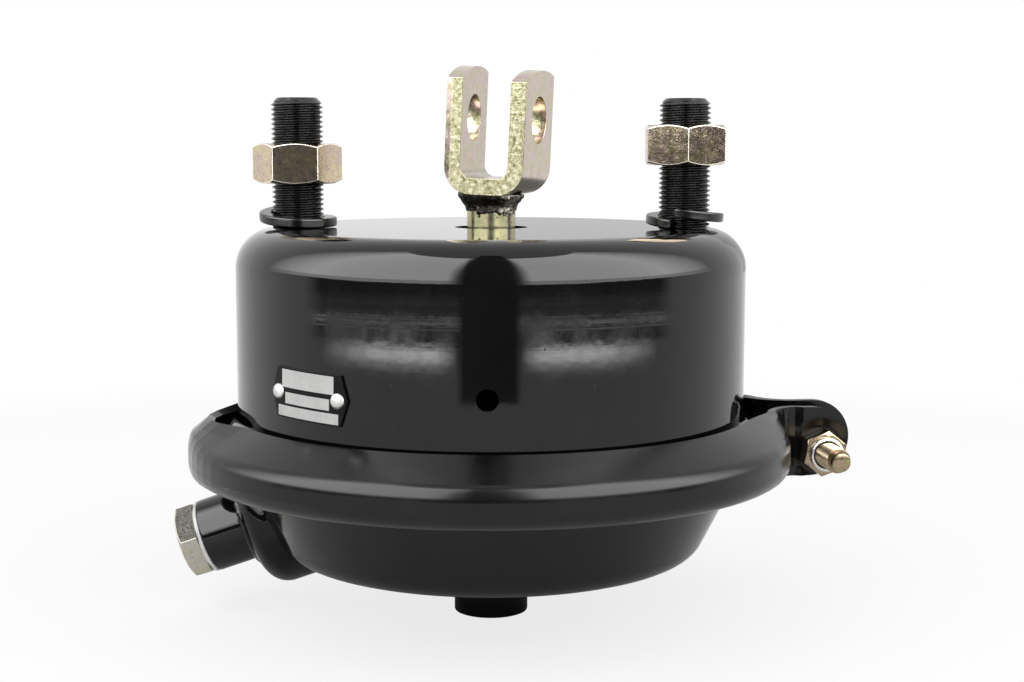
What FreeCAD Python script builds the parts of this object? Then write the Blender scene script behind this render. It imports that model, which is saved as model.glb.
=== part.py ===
"""Single-diaphragm service brake chamber with a welded clevis, in millimetres.

The frame: the origin is the centre of the mounting face on the push-rod axis, +Z runs out
along the push rod toward the clevis, and X runs through the two mounting studs.
"""
import FreeCAD, Part
import math
import os

V = FreeCAD.Vector

# Mounting pattern and studs
STUD_SPACING = 120.7
STUD_WALL_DISTANCE = 18.95
STUD_DIAMETER = 16.0
STUD_STAND = 40.0
STUD_TIP_CHAMFER = 1.9
STUD_HEAD_DIAMETER = 21.0
STUD_HEAD_HEIGHT = 5.0
STUD_HEAD_CHAMFER = 0.8
STUD_PLATE_THICKNESS = 4.0
STUD_PLATE_MARGIN = 1.65
STUD_PLATE_BORE_MARGIN = 1.5
STUD_PLATE_FILLET_GAP = 0.7

# Upper housing, pressed from sheet
HOUSING_SHEET = 2.8
SHOULDER_RADIUS = 12.0
SEAM_BEND_RADIUS = 2.2
FLANGE_REACH = 10.1
ROD_HOLE_CLEARANCE = 3.8
DRAIN_DIAMETER = 6.2
DRAIN_ABOVE_BAND = 14.5
DRAIN_COUNT = 4

# Clamp band
BAND_DEPTH = 57.0
BAND_SHEET = 2.5
BAND_LIP_GAP = 2.2
BAND_FLANGE_GAP = 2.8
BAND_LEG_SLOPE = 29.5
BAND_CORNER = 5.0
FLEX_AZIMUTH = 192.0
FLEX_HALF_ANGLE = 20.0
FLEX_SHARE = 0.46
FLEX_TOP_DROP = 1.0
FLEX_FOOT_DROP = 4.6

# Clamp ears
EAR_AZIMUTH = 8.0
EAR_GAP = 4.0
EAR_SHEET = 2.8
EAR_RADIUS = 11.3
EAR_SINK = 3.05
EAR_BEND_RADIUS = 9.0
EAR_BLEND_ANGLE = 24.0
EAR_BLEND_POWER = 2.4
EAR_BEND_SHARE = 0.2
EAR_DIP = 2.0
REAR_EAR_GROWTH = 0.9
REAR_EAR_EXTRA = 2.6
DISH_FLOOR_RADIUS = 8.1
DISH_RISE = 1.7

# Lower housing
BOWL_SHEET = 2.5
BOWL_WALL_ANGLE = 27.0
BOWL_MOUTH_MARGIN = 0.2
BOWL_DEPTH = 36.6
BOWL_CORNER_RADIUS = 9.0
BOWL_DOME_RADIUS = 240.0

# Air ports
PORT_BORE_DIAMETER = 14.4
BOSS_WALL = 4.5
BOSS_EDGE = 0.6
CENTRE_BOSS_STAND = 12.7
CENTRE_WELD_LEG = 2.2
SIDE_WELD_LEG = 2.6
PORT_BORE_MOUTH = 0.8
PORT_SHELL_MARGIN = 1.3
SIDE_PORT_SLOPE = 19.1
SIDE_PORT_DROP = 18.58
SIDE_PORT_STAND = 21.45
SIDE_BOSS_LENGTH = 15.0
TURRET_MARGIN = 10.3
TURRET_EDGE_RADIUS = 7.5
TURRET_CEILING_GAP = 0.4
PLUG_FLATS = 22.0
PLUG_HEAD = 6.3
PLUG_SHANK = 10.0
SEAL_THICKNESS = 1.2
SEAL_EDGE = 0.1

# Push rod, clevis and push plate
ROD_DIAMETER = 15.2
PLATE_EDGE_GAP = 4.6
PLATE_SHEET = 4.0
PLATE_RIM = 9.0
PLATE_RIM_BEND = 7.0
PLATE_WELD_LEG = 4.0
CLEVIS_TURN = -15.0
CLEVIS_LEAN = 2.5
CLEVIS_OFFSET = 1.8
CLEVIS_SPLAY = 1.5
CLEVIS_WIDTH = 26.6
CLEVIS_DEPTH = 28.0
CLEVIS_STRIP = 5.0
CLEVIS_UNDERSIDE = 10.3
CLEVIS_BEND_RADIUS = 8.5
CLEVIS_TOP_RADIUS = 29.0
CLEVIS_TOP_STEP = 0.7
CLEVIS_PIN_DIAMETER = 14.5
CLEVIS_PIN_RISE = 23.4
CLEVIS_EYE_EDGE = 16.0
WELD_LENGTH = 6.5
WELD_FLARE = 2.9

# Diaphragm
DIAPHRAGM_THICKNESS = 3.2
DIAPHRAGM_WALL_GAP = 0.7
DIAPHRAGM_CORNER_RADIUS = 9.0
SOFT_GAP = 0.3
DOME_GAP = -0.35
BEAD_THICKNESS = 3.42
BEAD_INSET = 1.2

# Return spring
SPRING_WIRE = 4.5
SPRING_HEAD_GAP = 5.1
SPRING_FOOT_GAP = 7.65
SPRING_ACTIVE_TURNS = 3.5
SPRING_END_TURNS = 0.6
SPRING_SECTION_SIDES = 8
SPRING_SEAT_GAP = 0.3

# Fasteners
NUT_FLATS = 24.0
NUT_HEIGHT = 12.3
NUT_RUNNING_GAP = 0.05
NUT_BORE_CHAMFER = 0.9
LEFT_NUT_FOOT = 13.6
RIGHT_NUT_FOOT = 19.5
WASHER_BORE_GAP = 0.3
WASHER_WIDTH = 3.75
WASHER_THICKNESS = 2.9
WASHER_RISE = 3.6
BOLT_DIAMETER = 8.0
BOLT_CLEARANCE = 0.4
BOLT_OFFSET = 12.35
BOLT_DROP = 3.4
EAR_BACKSET = 3.0
BOLT_HEAD = 5.3
BOLT_FLATS = 13.0
BOLT_END_STAND = 13.3
CLAMP_NUT_HEIGHT = 6.0
CLAMP_NUT_COLLAR = 1.9
CLAMP_NUT_COLLAR_DIAMETER = 11.2

# Name plate
LABEL_AZIMUTH = -130.2
LABEL_WIDTH = 30.6
LABEL_EDGE_WIDTH = 25.4
LABEL_HEIGHT = 14.4
LABEL_ABOVE_BAND = 12.4
LABEL_SHEET = 0.8
LABEL_RIVET_SPACING = 23.4
LABEL_RIVET_DIAMETER = 4.6
LABEL_RIVET_HEAD = 1.3

# Values that follow from the ones above
STUD_X = STUD_SPACING / 2
HOUSING_RADIUS = STUD_X + STUD_WALL_DISTANCE
ROD_HOLE_RADIUS = ROD_DIAMETER / 2 + ROD_HOLE_CLEARANCE
LEG_TANGENT = math.tan(math.radians(BAND_LEG_SLOPE))
LEG_COSINE = math.cos(math.radians(BAND_LEG_SLOPE))
FLANGE_RADIUS = HOUSING_RADIUS + FLANGE_REACH
BEAD_RADIUS = FLANGE_RADIUS - BEAD_INSET
BOSS_DIAMETER = PORT_BORE_DIAMETER + 2 * BOSS_WALL
BAND_TOP = -BAND_DEPTH
BAND_LIP_RADIUS = HOUSING_RADIUS + BAND_LIP_GAP
BAND_OUTER_RADIUS = FLANGE_RADIUS + BAND_FLANGE_GAP + BAND_SHEET


def upper_leg_inside(radius):
    """Height of the inside of the band's upper leg at a radius."""
    start = BAND_TOP - BAND_SHEET / LEG_COSINE
    return start - (radius - BAND_LIP_RADIUS) * LEG_TANGENT


def upper_flange_inside(radius):
    """Height of the underside of the upper housing's flange at a radius."""
    return upper_leg_inside(radius) - HOUSING_SHEET / LEG_COSINE


# The lower flange and the band's foot follow from the stack of flanges and bead
BEAD_FOOT = upper_flange_inside(BEAD_RADIUS) - SOFT_GAP - BEAD_THICKNESS
LOWER_LEG_TOP = BEAD_FOOT - SOFT_GAP - BOWL_SHEET
BAND_BOTTOM = LOWER_LEG_TOP - BAND_SHEET
BAND_MIDDLE = (BAND_TOP + BAND_BOTTOM) / 2
BOWL_MOUTH_RADIUS = HOUSING_RADIUS + BOWL_MOUTH_MARGIN
BOWL_BOTTOM = LOWER_LEG_TOP - BOWL_DEPTH
CENTRE_BOSS_END = BOWL_BOTTOM - CENTRE_BOSS_STAND
EAR_CENTRE = BAND_MIDDLE - EAR_SINK
BOLT_REACH = BAND_OUTER_RADIUS + BOLT_OFFSET
BOLT_HEIGHT = EAR_CENTRE - BOLT_DROP
EAR_REACH = BOLT_REACH - EAR_BACKSET
EAR_SEAT = EAR_GAP / 2 + EAR_SHEET
EAR_SWING = math.degrees(math.asin((EAR_SEAT + EAR_BEND_RADIUS) / (BAND_OUTER_RADIUS - EAR_DIP)))


def p(radius, height):
    """A point of a profile in the XZ plane."""
    return V(radius, 0, height)


def rounded_path(points, radii):
    """Edges of an open path whose inner corners are rounded by tangent arcs."""
    edges = []
    last = V(points[0])
    for i in range(1, len(points) - 1):
        corner = points[i]
        back = (points[i - 1] - corner).normalize()
        ahead = (points[i + 1] - corner).normalize()
        half = back.getAngle(ahead) / 2
        radius = radii[i - 1]
        if radius < 0.02:
            edges.append(Part.LineSegment(last, corner).toShape())
            last = corner
            continue
        reach = radius / math.tan(half)
        first = corner + back * reach
        second = corner + ahead * reach
        middle_line = (back + ahead).normalize()
        centre = corner + middle_line * (radius / math.sin(half))
        middle = centre - middle_line * radius
        if (first - last).Length > 1e-6:
            edges.append(Part.LineSegment(last, first).toShape())
        edges.append(Part.Arc(first, middle, second).toShape())
        last = second
    edges.append(Part.LineSegment(last, points[-1]).toShape())
    return edges


def offset_points(points, distance):
    """Corners of the same path moved to its right by a distance, in the XZ plane."""
    moved = []
    normals = []
    for a, b in zip(points[:-1], points[1:]):
        d = (b - a).normalize()
        normals.append(V(d.z, 0, -d.x))
    moved.append(points[0] + normals[0] * distance)
    for i in range(1, len(points) - 1):
        n = normals[i - 1] + normals[i]
        scale = distance / n.dot(normals[i])
        moved.append(points[i] + n * scale)
    moved.append(points[-1] + normals[-1] * distance)
    return moved


def sheet_profile(points, radii, thickness):
    """Closed section of sheet metal: a bent path thickened to its right."""
    inner = offset_points(points, thickness)
    inner_radii = []
    for i in range(1, len(points) - 1):
        a = points[i] - points[i - 1]
        b = points[i + 1] - points[i]
        turns_right = a.x * b.z - a.z * b.x < 0
        change = -thickness if turns_right else thickness
        inner_radii.append(max(radii[i - 1] + change, 0.0))
    outer_edges = rounded_path(points, radii)
    inner_edges = rounded_path(inner, inner_radii)
    caps = [Part.LineSegment(points[-1], inner[-1]).toShape(),
            Part.LineSegment(points[0], inner[0]).toShape()]
    return Part.Wire(Part.__sortEdges__(outer_edges + inner_edges + caps))


def revolve(wire, angle=360.0, origin=V(0, 0, 0), axis=V(0, 0, 1)):
    """Solid of revolution of a closed section."""
    return Part.Face(wire).revolve(origin, axis, angle)


def revolve_points(points, angle=360.0):
    """Solid of revolution of a straight-sided section given as radius and height pairs."""
    corners = [p(r, z) for r, z in points]
    return revolve(Part.makePolygon(corners + [corners[0]]), angle)


def hexagon_prism(flats, height, chamfer_low, chamfer_high):
    """Hexagonal head with its corners turned off at either end, standing on the XY plane."""
    corner = flats / math.sqrt(3)
    ring = [V(corner * math.cos(math.radians(60 * k)), corner * math.sin(math.radians(60 * k)), 0)
            for k in range(7)]
    prism = Part.Face(Part.makePolygon(ring)).extrude(V(0, 0, height))
    touch = flats / 2 - 0.1
    rise = (corner - touch) * math.tan(math.radians(30))
    low = [(touch, 0), (corner + 0.4, rise + 0.4 * math.tan(math.radians(30)))]
    high = [(corner + 0.4, height - rise - 0.4 * math.tan(math.radians(30))), (touch, height)]
    outline = [(0, 0)]
    outline += low if chamfer_low else [(corner + 0.4, 0)]
    outline += high if chamfer_high else [(corner + 0.4, height)]
    outline += [(0, height)]
    return prism.common(revolve_points(outline))


def upper_housing():
    """Upper housing: a pressed cup with a rod hole, stud holes, drain holes and a clamp flange."""
    seam = upper_leg_inside(HOUSING_RADIUS)
    path = [p(ROD_HOLE_RADIUS, 0), p(HOUSING_RADIUS, 0), p(HOUSING_RADIUS, seam),
            p(FLANGE_RADIUS, upper_leg_inside(FLANGE_RADIUS))]
    shell = revolve(sheet_profile(path, [SHOULDER_RADIUS, SEAM_BEND_RADIUS], HOUSING_SHEET))
    for side in (-1, 1):
        hole = Part.makeCylinder(STUD_DIAMETER / 2, 3 * HOUSING_SHEET, V(side * STUD_X, 0, -2 * HOUSING_SHEET))
        shell = shell.cut(hole)
    for k in range(DRAIN_COUNT):
        way = radial(-90 + 360 / DRAIN_COUNT * k)
        start = way * (HOUSING_RADIUS - 2 * HOUSING_SHEET) + V(0, 0, BAND_TOP + DRAIN_ABOVE_BAND)
        shell = shell.cut(Part.makeCylinder(DRAIN_DIAMETER / 2, 4 * HOUSING_SHEET, start, way))
    return shell


def stud_plate():
    """Reinforcing plate welded under the mounting face, holding the studs and seating the spring."""
    top = -HOUSING_SHEET
    under = top - STUD_PLATE_THICKNESS
    flat = HOUSING_RADIUS - SHOULDER_RADIUS
    inside = SHOULDER_RADIUS - HOUSING_SHEET
    rim = STUD_X + STUD_HEAD_DIAMETER / 2 + STUD_PLATE_MARGIN
    drop = inside - math.sqrt(inside ** 2 - (rim - flat) ** 2) + STUD_PLATE_FILLET_GAP
    bore = ROD_HOLE_RADIUS + STUD_PLATE_BORE_MARGIN
    plate = revolve_points([(bore, top), (flat, top), (rim, top - drop), (rim, under), (bore, under)])
    for side in (-1, 1):
        hole = Part.makeCylinder(STUD_DIAMETER / 2, 3 * STUD_PLATE_THICKNESS,
                                 V(side * STUD_X, 0, top - 2 * STUD_PLATE_THICKNESS))
        plate = plate.cut(hole)
    return plate


def mounting_stud(side):
    """Mounting stud with its head welded under the reinforcing plate."""
    seat = -HOUSING_SHEET - STUD_PLATE_THICKNESS
    foot = seat - STUD_HEAD_HEIGHT
    half = STUD_DIAMETER / 2
    head = STUD_HEAD_DIAMETER / 2
    profile = [(0, foot), (head - STUD_HEAD_CHAMFER, foot), (head, foot + STUD_HEAD_CHAMFER), (head, seat),
               (half, seat), (half, STUD_STAND - STUD_TIP_CHAMFER), (half - STUD_TIP_CHAMFER, STUD_STAND),
               (0, STUD_STAND)]
    stud = revolve_points(profile)
    stud.translate(V(side * STUD_X, 0, 0))
    return stud


def stud_nut(side, foot, turn):
    """Hexagon nut run part of the way down its stud."""
    nut = hexagon_prism(NUT_FLATS, NUT_HEIGHT, True, True)
    bore = STUD_DIAMETER / 2 + NUT_RUNNING_GAP
    mouth = bore + NUT_BORE_CHAMFER
    nut = nut.cut(Part.makeCylinder(bore, 3 * NUT_HEIGHT, V(0, 0, -NUT_HEIGHT)))
    nut = nut.cut(Part.makeCone(mouth, bore, NUT_BORE_CHAMFER))
    nut = nut.cut(Part.makeCone(bore, mouth, NUT_BORE_CHAMFER, V(0, 0, NUT_HEIGHT - NUT_BORE_CHAMFER)))
    nut.rotate(V(0, 0, 0), V(0, 0, 1), turn)
    nut.translate(V(side * STUD_X, 0, foot))
    return nut


def lock_washer(side, split_azimuth):
    """Split spring washer: one turn of square section that climbs from its low end."""
    inner = STUD_DIAMETER / 2 + WASHER_BORE_GAP
    outer = inner + WASHER_WIDTH
    low = 0.05
    turn = 354.0
    helix = Part.makeHelix(WASHER_RISE * 360 / turn, WASHER_RISE, (inner + outer) / 2, 0, True)
    section = Part.makePolygon([p(inner, 0), p(outer, 0), p(outer, WASHER_THICKNESS),
                                p(inner, WASHER_THICKNESS), p(inner, 0)])
    pipe = Part.Wire(helix).makePipeShell([section], True, True)
    pipe.rotate(V(0, 0, 0), V(0, 0, 1), split_azimuth - 3)
    pipe.translate(V(side * STUD_X, 0, low))
    return pipe


def band_section():
    """Outside corners of the band's section: depth behind its outer radius, and height."""
    deep = BAND_OUTER_RADIUS - BAND_LIP_RADIUS
    knee_height = BAND_TOP - deep * LEG_TANGENT
    return [p(-deep, BAND_TOP), p(0, knee_height), p(0, BAND_BOTTOM), p(-deep, BAND_BOTTOM)]


def band_corner_radius():
    """Outside radius of the band's two bends, which its wall limits."""
    corners = band_section()
    wall = corners[1].z - corners[2].z
    return min(BAND_CORNER, wall / 2)


def band_rounded(samples):
    """The same section with rounded corners, as matching lists of outside and inside points."""
    corners = band_section()
    inner = offset_points(corners, BAND_SHEET)
    radius = band_corner_radius()
    rows = []
    for pts, bend in ((corners, radius), (inner, radius - BAND_SHEET)):
        edges = rounded_path(pts, [bend, bend])
        row = [edges[0].Vertexes[0].Point]
        for e in edges:
            count = samples if e.Curve.TypeId == "Part::GeomCircle" else 2
            first = e.valueAt(e.FirstParameter)
            forward = (first - row[-1]).Length < 1e-4
            for k in range(1, count + 1):
                f = k / count
                t = e.FirstParameter + (e.LastParameter - e.FirstParameter) * (f if forward else 1 - f)
                row.append(e.valueAt(t))
        rows.append(row)
    return rows


def flat_section(rows, top, bottom, sheet, depth=None):
    """A strip with as many points as the rounded section, for the ends of the band.

    The depth function bulges the strip outward by a distance that depends on the height.
    """
    count = len(rows[0])
    span = [top + (bottom - top) * k / (count - 1) for k in range(count)]
    bulge = [depth(z) if depth else 0.0 for z in span]
    return [[V(b, 0, z) for b, z in zip(bulge, span)], [V(b - sheet, 0, z) for b, z in zip(bulge, span)]]


def mixed_wire(rows, flats, share, place, normal):
    """Closed wire between the band's section and the flat strip, set at a place of the band."""
    loops = []
    for row, flat in zip(rows, flats):
        loop = []
        for a, b in zip(row, flat):
            depth = a.x * share + b.x * (1 - share)
            height = a.z * share + b.z * (1 - share)
            loop.append(V(place.x + normal.x * depth, place.y + normal.y * depth, height))
        loops.append(loop)
    ring = loops[0] + loops[1][::-1]
    return Part.makePolygon(ring + [ring[0]])


def radial(azimuth):
    """Unit vector outward at an azimuth in degrees."""
    return V(math.cos(math.radians(azimuth)), math.sin(math.radians(azimuth)), 0)


def ear_dish_rise(distance):
    """How far the front ear's dish stands out at a distance from the bolt."""
    wall = EAR_RADIUS - DISH_FLOOR_RADIUS
    share = min(max((distance - DISH_FLOOR_RADIUS) / wall, 0.0), 1.0)
    return DISH_RISE * share


def ear_tab(hand, start, radius, extra):
    """Rounded tab of an ear beyond the bend, upright in the XZ plane and pierced for the bolt."""
    low = EAR_CENTRE - radius
    high = EAR_CENTRE + radius
    turn = EAR_REACH + extra
    edges = [Part.LineSegment(V(start, 0, low), V(turn, 0, low)).toShape(),
             Part.Arc(V(turn, 0, low), V(turn + radius, 0, EAR_CENTRE), V(turn, 0, high)).toShape(),
             Part.LineSegment(V(turn, 0, high), V(start, 0, high)).toShape(),
             Part.LineSegment(V(start, 0, high), V(start, 0, low)).toShape()]
    outline = Part.Face(Part.Wire(edges))
    hole = Part.makeCylinder(BOLT_DIAMETER / 2 + BOLT_CLEARANCE, 8 * EAR_SEAT,
                             V(BOLT_REACH, -4 * EAR_SEAT, BOLT_HEIGHT), V(0, 1, 0))
    if hand > 0:
        tab = outline.extrude(V(0, EAR_SHEET, 0))
        tab.translate(V(0, EAR_GAP / 2, 0))
        return tab.cut(hole)
    tab = outline.extrude(V(0, -3 * EAR_SEAT, 0))
    path = [p(0, EAR_SEAT), p(DISH_FLOOR_RADIUS, EAR_SEAT), p(EAR_RADIUS, EAR_SEAT + DISH_RISE),
            p(4 * radius, EAR_SEAT + DISH_RISE)]
    dish = revolve(sheet_profile(path, [2.0, EAR_SHEET + 0.6], EAR_SHEET))
    dish.Placement = FreeCAD.Placement(V(BOLT_REACH, 0, BOLT_HEIGHT), FreeCAD.Rotation(V(0, 0, 1), V(0, -1, 0)))
    return tab.common(dish).cut(hole)


def clamp_ear(hand, rows):
    """Ear at one end of the band: the band flattens, turns outward and ends in a rounded tab."""
    out = radial(EAR_AZIMUTH)
    along = V(-out.y, out.x, 0) * hand
    radius = EAR_RADIUS + (REAR_EAR_GROWTH if hand > 0 else 0.0)
    extra = REAR_EAR_EXTRA if hand > 0 else 0.0
    start = radial(EAR_AZIMUTH + hand * EAR_SWING)
    base = start * (BAND_OUTER_RADIUS - EAR_DIP)
    tab_start = base.dot(out) + EAR_BEND_RADIUS

    def dish(height):
        if hand > 0:
            return 0.0
        return ear_dish_rise(math.hypot(BOLT_REACH - tab_start, height - BOLT_HEIGHT))

    strip = flat_section(rows, EAR_CENTRE + radius, EAR_CENTRE - radius, EAR_SHEET)
    end_strip = flat_section(rows, EAR_CENTRE + radius, EAR_CENTRE - radius, EAR_SHEET, dish)
    wires = []
    for k in range(11):
        way = radial(EAR_AZIMUTH + hand * (EAR_SWING + EAR_BLEND_ANGLE * (1 - k / 10)))
        share = 1 - (1 - EAR_BEND_SHARE) * (k / 10) ** EAR_BLEND_POWER
        dip = EAR_DIP * (k / 10) ** EAR_BLEND_POWER
        wires.append(mixed_wire(rows, strip, share, way * (BAND_OUTER_RADIUS - dip), way))
    centre = out * tab_start + along * (EAR_SEAT + EAR_BEND_RADIUS)
    for theta, ends in ((15, strip), (30, strip), (45, strip), (60, strip), (75, strip), (90, end_strip)):
        share = EAR_BEND_SHARE * (1 - theta / 90) ** 2
        a = math.radians(theta)
        normal = out * math.cos(a) + along * math.sin(a)
        place = centre - normal * EAR_BEND_RADIUS
        wires.append(mixed_wire(rows, ends, share, place, normal))
    root = Part.makeLoft(wires, True, True)
    tab = ear_tab(hand, tab_start, radius, extra)
    tab.rotate(V(0, 0, 0), V(0, 0, 1), EAR_AZIMUTH)
    return root.fuse(tab)


def clamp_band():
    """One-piece clamp band: a V section with a flattened flexing zone and two bolted ears."""
    rows = band_rounded(4)
    corners = [V(c.x + BAND_OUTER_RADIUS, 0, c.z) for c in band_section()]
    radius = band_corner_radius()
    section = sheet_profile(corners, [radius, radius], BAND_SHEET)
    swing = EAR_SWING + EAR_BLEND_ANGLE
    pieces = []
    spans = ((EAR_AZIMUTH + swing, FLEX_AZIMUTH - FLEX_HALF_ANGLE),
             (FLEX_AZIMUTH + FLEX_HALF_ANGLE, EAR_AZIMUTH + 360 - swing))
    for first, last in spans:
        arc = revolve(section, last - first)
        arc.rotate(V(0, 0, 0), V(0, 0, 1), first)
        pieces.append(arc)
    strip = flat_section(rows, BAND_TOP - FLEX_TOP_DROP, BAND_BOTTOM - FLEX_FOOT_DROP, EAR_SHEET)
    wires = []
    for k in range(-5, 6):
        way = radial(FLEX_AZIMUTH + FLEX_HALF_ANGLE * k / 5)
        ease = (1 + math.cos(math.pi * k / 5)) / 2
        wires.append(mixed_wire(rows, strip, 1 - (1 - FLEX_SHARE) * ease, way * BAND_OUTER_RADIUS, way))
    pieces.append(Part.makeLoft(wires, True, True))
    pieces.append(clamp_ear(-1, rows))
    pieces.append(clamp_ear(1, rows))
    band = pieces[0].multiFuse(pieces[1:])
    return band.removeSplitter()


def clamp_bolt():
    """Clamp bolt through both ears, its head behind and its dog point toward the front."""
    out = radial(EAR_AZIMUTH)
    back = V(-out.y, out.x, 0)
    head = hexagon_prism(BOLT_FLATS, BOLT_HEAD, False, True)
    length = 2 * EAR_SEAT + CLAMP_NUT_HEIGHT + CLAMP_NUT_COLLAR + BOLT_END_STAND
    half = BOLT_DIAMETER / 2
    dog = 0.75 * half
    shank = revolve_points([(0, 0), (half, 0), (half, 3.4 - length), (dog, 2.4 - length),
                            (dog, 0.4 - length), (dog - 0.4, -length), (0, -length)])
    bolt = head.fuse(shank)
    bolt.rotate(V(0, 0, 0), V(0, 0, 1), 30.0)
    place = out * BOLT_REACH + back * EAR_SEAT + V(0, 0, BOLT_HEIGHT)
    turn = FreeCAD.Rotation(V(0, 0, 1), back)
    bolt.Placement = FreeCAD.Placement(place, turn).multiply(bolt.Placement)
    return bolt


def clamp_nut():
    """Prevailing-torque nut with a round collar, on the front ear."""
    out = radial(EAR_AZIMUTH)
    front = V(out.y, -out.x, 0)
    nut = hexagon_prism(BOLT_FLATS, CLAMP_NUT_HEIGHT, True, True)
    half = CLAMP_NUT_COLLAR_DIAMETER / 2
    top = CLAMP_NUT_HEIGHT + CLAMP_NUT_COLLAR
    collar = revolve_points([(0, CLAMP_NUT_HEIGHT - 1.0), (half, CLAMP_NUT_HEIGHT - 1.0), (half, top - 0.7),
                             (half - 0.6, top), (0, top)])
    bore = Part.makeCylinder(BOLT_DIAMETER / 2, 3 * CLAMP_NUT_HEIGHT, V(0, 0, -CLAMP_NUT_HEIGHT))
    nut = nut.fuse(collar).cut(bore)
    nut.rotate(V(0, 0, 0), V(0, 0, 1), 30.0)
    place = out * BOLT_REACH + front * EAR_SEAT + V(0, 0, BOLT_HEIGHT)
    nut.Placement = FreeCAD.Placement(place, FreeCAD.Rotation(V(0, 0, 1), front)).multiply(nut.Placement)
    return nut


def bowl_outline(inward):
    """Outline of the lower housing's wall and dome, moved inward by a distance."""
    slope = math.radians(BOWL_WALL_ANGLE)
    down = V(-math.sin(slope), 0, -math.cos(slope))
    inner_normal = V(-math.cos(slope), 0, math.sin(slope))
    mouth = p(BOWL_MOUTH_RADIUS, LOWER_LEG_TOP)
    dome = p(0, BOWL_BOTTOM + BOWL_DOME_RADIUS)
    start = mouth + inner_normal * BOWL_CORNER_RADIUS
    w = start - dome
    b = w.dot(down)
    c = w.dot(w) - (BOWL_DOME_RADIUS - BOWL_CORNER_RADIUS) ** 2
    corner = start + down * (-b + math.sqrt(b * b - c))
    toward = (corner - dome).normalize()
    r = BOWL_CORNER_RADIUS - inward
    wall_end = corner - inner_normal * r
    dome_end = corner + toward * r
    halfway = corner + (toward - inner_normal).normalize() * r
    dome_r = BOWL_DOME_RADIUS - inward
    angle = math.atan2(dome_end.x, dome.z - dome_end.z) / 2
    dome_mid = dome + V(math.sin(angle), 0, -math.cos(angle)) * dome_r
    pole = p(0, dome.z - dome_r)
    return wall_end, halfway, dome_end, dome_mid, pole


def bowl_solid(inward, top):
    """Filled body inside the lower housing's wall, up to a height."""
    wall_end, halfway, dome_end, dome_mid, pole = bowl_outline(inward)
    slope = math.tan(math.radians(BOWL_WALL_ANGLE))
    rim = p(wall_end.x + (top - wall_end.z) * slope, top)
    edges = [Part.LineSegment(p(0, top), rim).toShape(), Part.LineSegment(rim, wall_end).toShape(),
             Part.Arc(wall_end, halfway, dome_end).toShape(), Part.Arc(dome_end, dome_mid, pole).toShape(),
             Part.LineSegment(pole, p(0, top)).toShape()]
    return revolve(Part.Wire(edges))


def side_port_frame():
    """Outer end centre of the side port and the direction from it into the chamber.

    The port's axis crosses the line of the bowl's wall a little below the flange.
    """
    slope = math.radians(SIDE_PORT_SLOPE)
    inward = V(math.cos(slope), 0, math.sin(slope))
    radius = BOWL_MOUTH_RADIUS - SIDE_PORT_DROP * math.tan(math.radians(BOWL_WALL_ANGLE))
    crossing = V(-radius, 0, LOWER_LEG_TOP - SIDE_PORT_DROP)
    return crossing - inward * SIDE_PORT_STAND, inward


def on_side_port(shape):
    """Moves a shape modelled along +Z from the origin onto the side port's axis."""
    end, inward = side_port_frame()
    place = FreeCAD.Placement(end, FreeCAD.Rotation(V(0, 0, 1), inward))
    shape.Placement = place.multiply(shape.Placement)
    return shape


def turret(inward):
    """Pressed turret of the lower housing that carries the side port."""
    face = SIDE_BOSS_LENGTH + inward
    half = BOSS_DIAMETER / 2 + TURRET_MARGIN - inward
    edge = TURRET_EDGE_RADIUS - inward
    deep = face + SIDE_PORT_STAND + TURRET_MARGIN
    path = rounded_path([p(0, face), p(half, face), p(half, deep)], [edge])
    close = [Part.LineSegment(p(half, deep), p(0, deep)).toShape(),
             Part.LineSegment(p(0, deep), p(0, face)).toShape()]
    body = on_side_port(revolve(Part.Wire(path + close)))
    top = BAND_BOTTOM - TURRET_CEILING_GAP - inward
    size = 2 * BOWL_MOUTH_RADIUS
    return body.common(Part.makeBox(size, size, size, V(-size, -size / 2, top - size)))


def lower_housing():
    """Lower housing: a pressed bowl with a flat clamp flange and the side port's turret."""
    outer = bowl_solid(0, LOWER_LEG_TOP)
    inner = bowl_solid(BOWL_SHEET, LOWER_LEG_TOP + BOWL_SHEET + 0.5)
    outer = outer.fuse(turret(0))
    inner = inner.fuse(turret(BOWL_SHEET))
    start = BOWL_MOUTH_RADIUS - 2 * BOWL_SHEET
    flange = revolve_points([(start, LOWER_LEG_TOP), (FLANGE_RADIUS, LOWER_LEG_TOP),
                             (FLANGE_RADIUS, LOWER_LEG_TOP + BOWL_SHEET), (start, LOWER_LEG_TOP + BOWL_SHEET)])
    shell = outer.fuse(flange).cut(inner)
    hole = PORT_BORE_DIAMETER / 2 + PORT_SHELL_MARGIN
    shell = shell.cut(Part.makeCylinder(hole, 4 * BOSS_DIAMETER, V(0, 0, BOWL_BOTTOM - BOSS_DIAMETER)))
    end, inward = side_port_frame()
    shell = shell.cut(Part.makeCylinder(hole, SIDE_PORT_STAND + 2 * TURRET_MARGIN, end, inward))
    return shell.removeSplitter()


def ring_weld(radius, leg):
    """Fillet weld ring standing on the plane Z = 0 and growing toward +Z."""
    return revolve_points([(radius, 0), (radius + leg, 0), (radius + leg * 0.62, leg * 0.62), (radius, leg)])


def centre_port_boss():
    """Threaded boss welded under the middle of the lower housing."""
    half = BOSS_DIAMETER / 2
    bore = PORT_BORE_DIAMETER / 2
    inside = BOWL_BOTTOM + 2 * BOWL_SHEET + 1.0
    body = revolve_points([(bore + PORT_BORE_MOUTH, CENTRE_BOSS_END), (half - BOSS_EDGE, CENTRE_BOSS_END),
                           (half, CENTRE_BOSS_END + BOSS_EDGE), (half, inside), (bore, inside),
                           (bore, CENTRE_BOSS_END + PORT_BORE_MOUTH)])
    return body.cut(bowl_solid(0, BOWL_BOTTOM + BOWL_DEPTH / 2))


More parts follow.
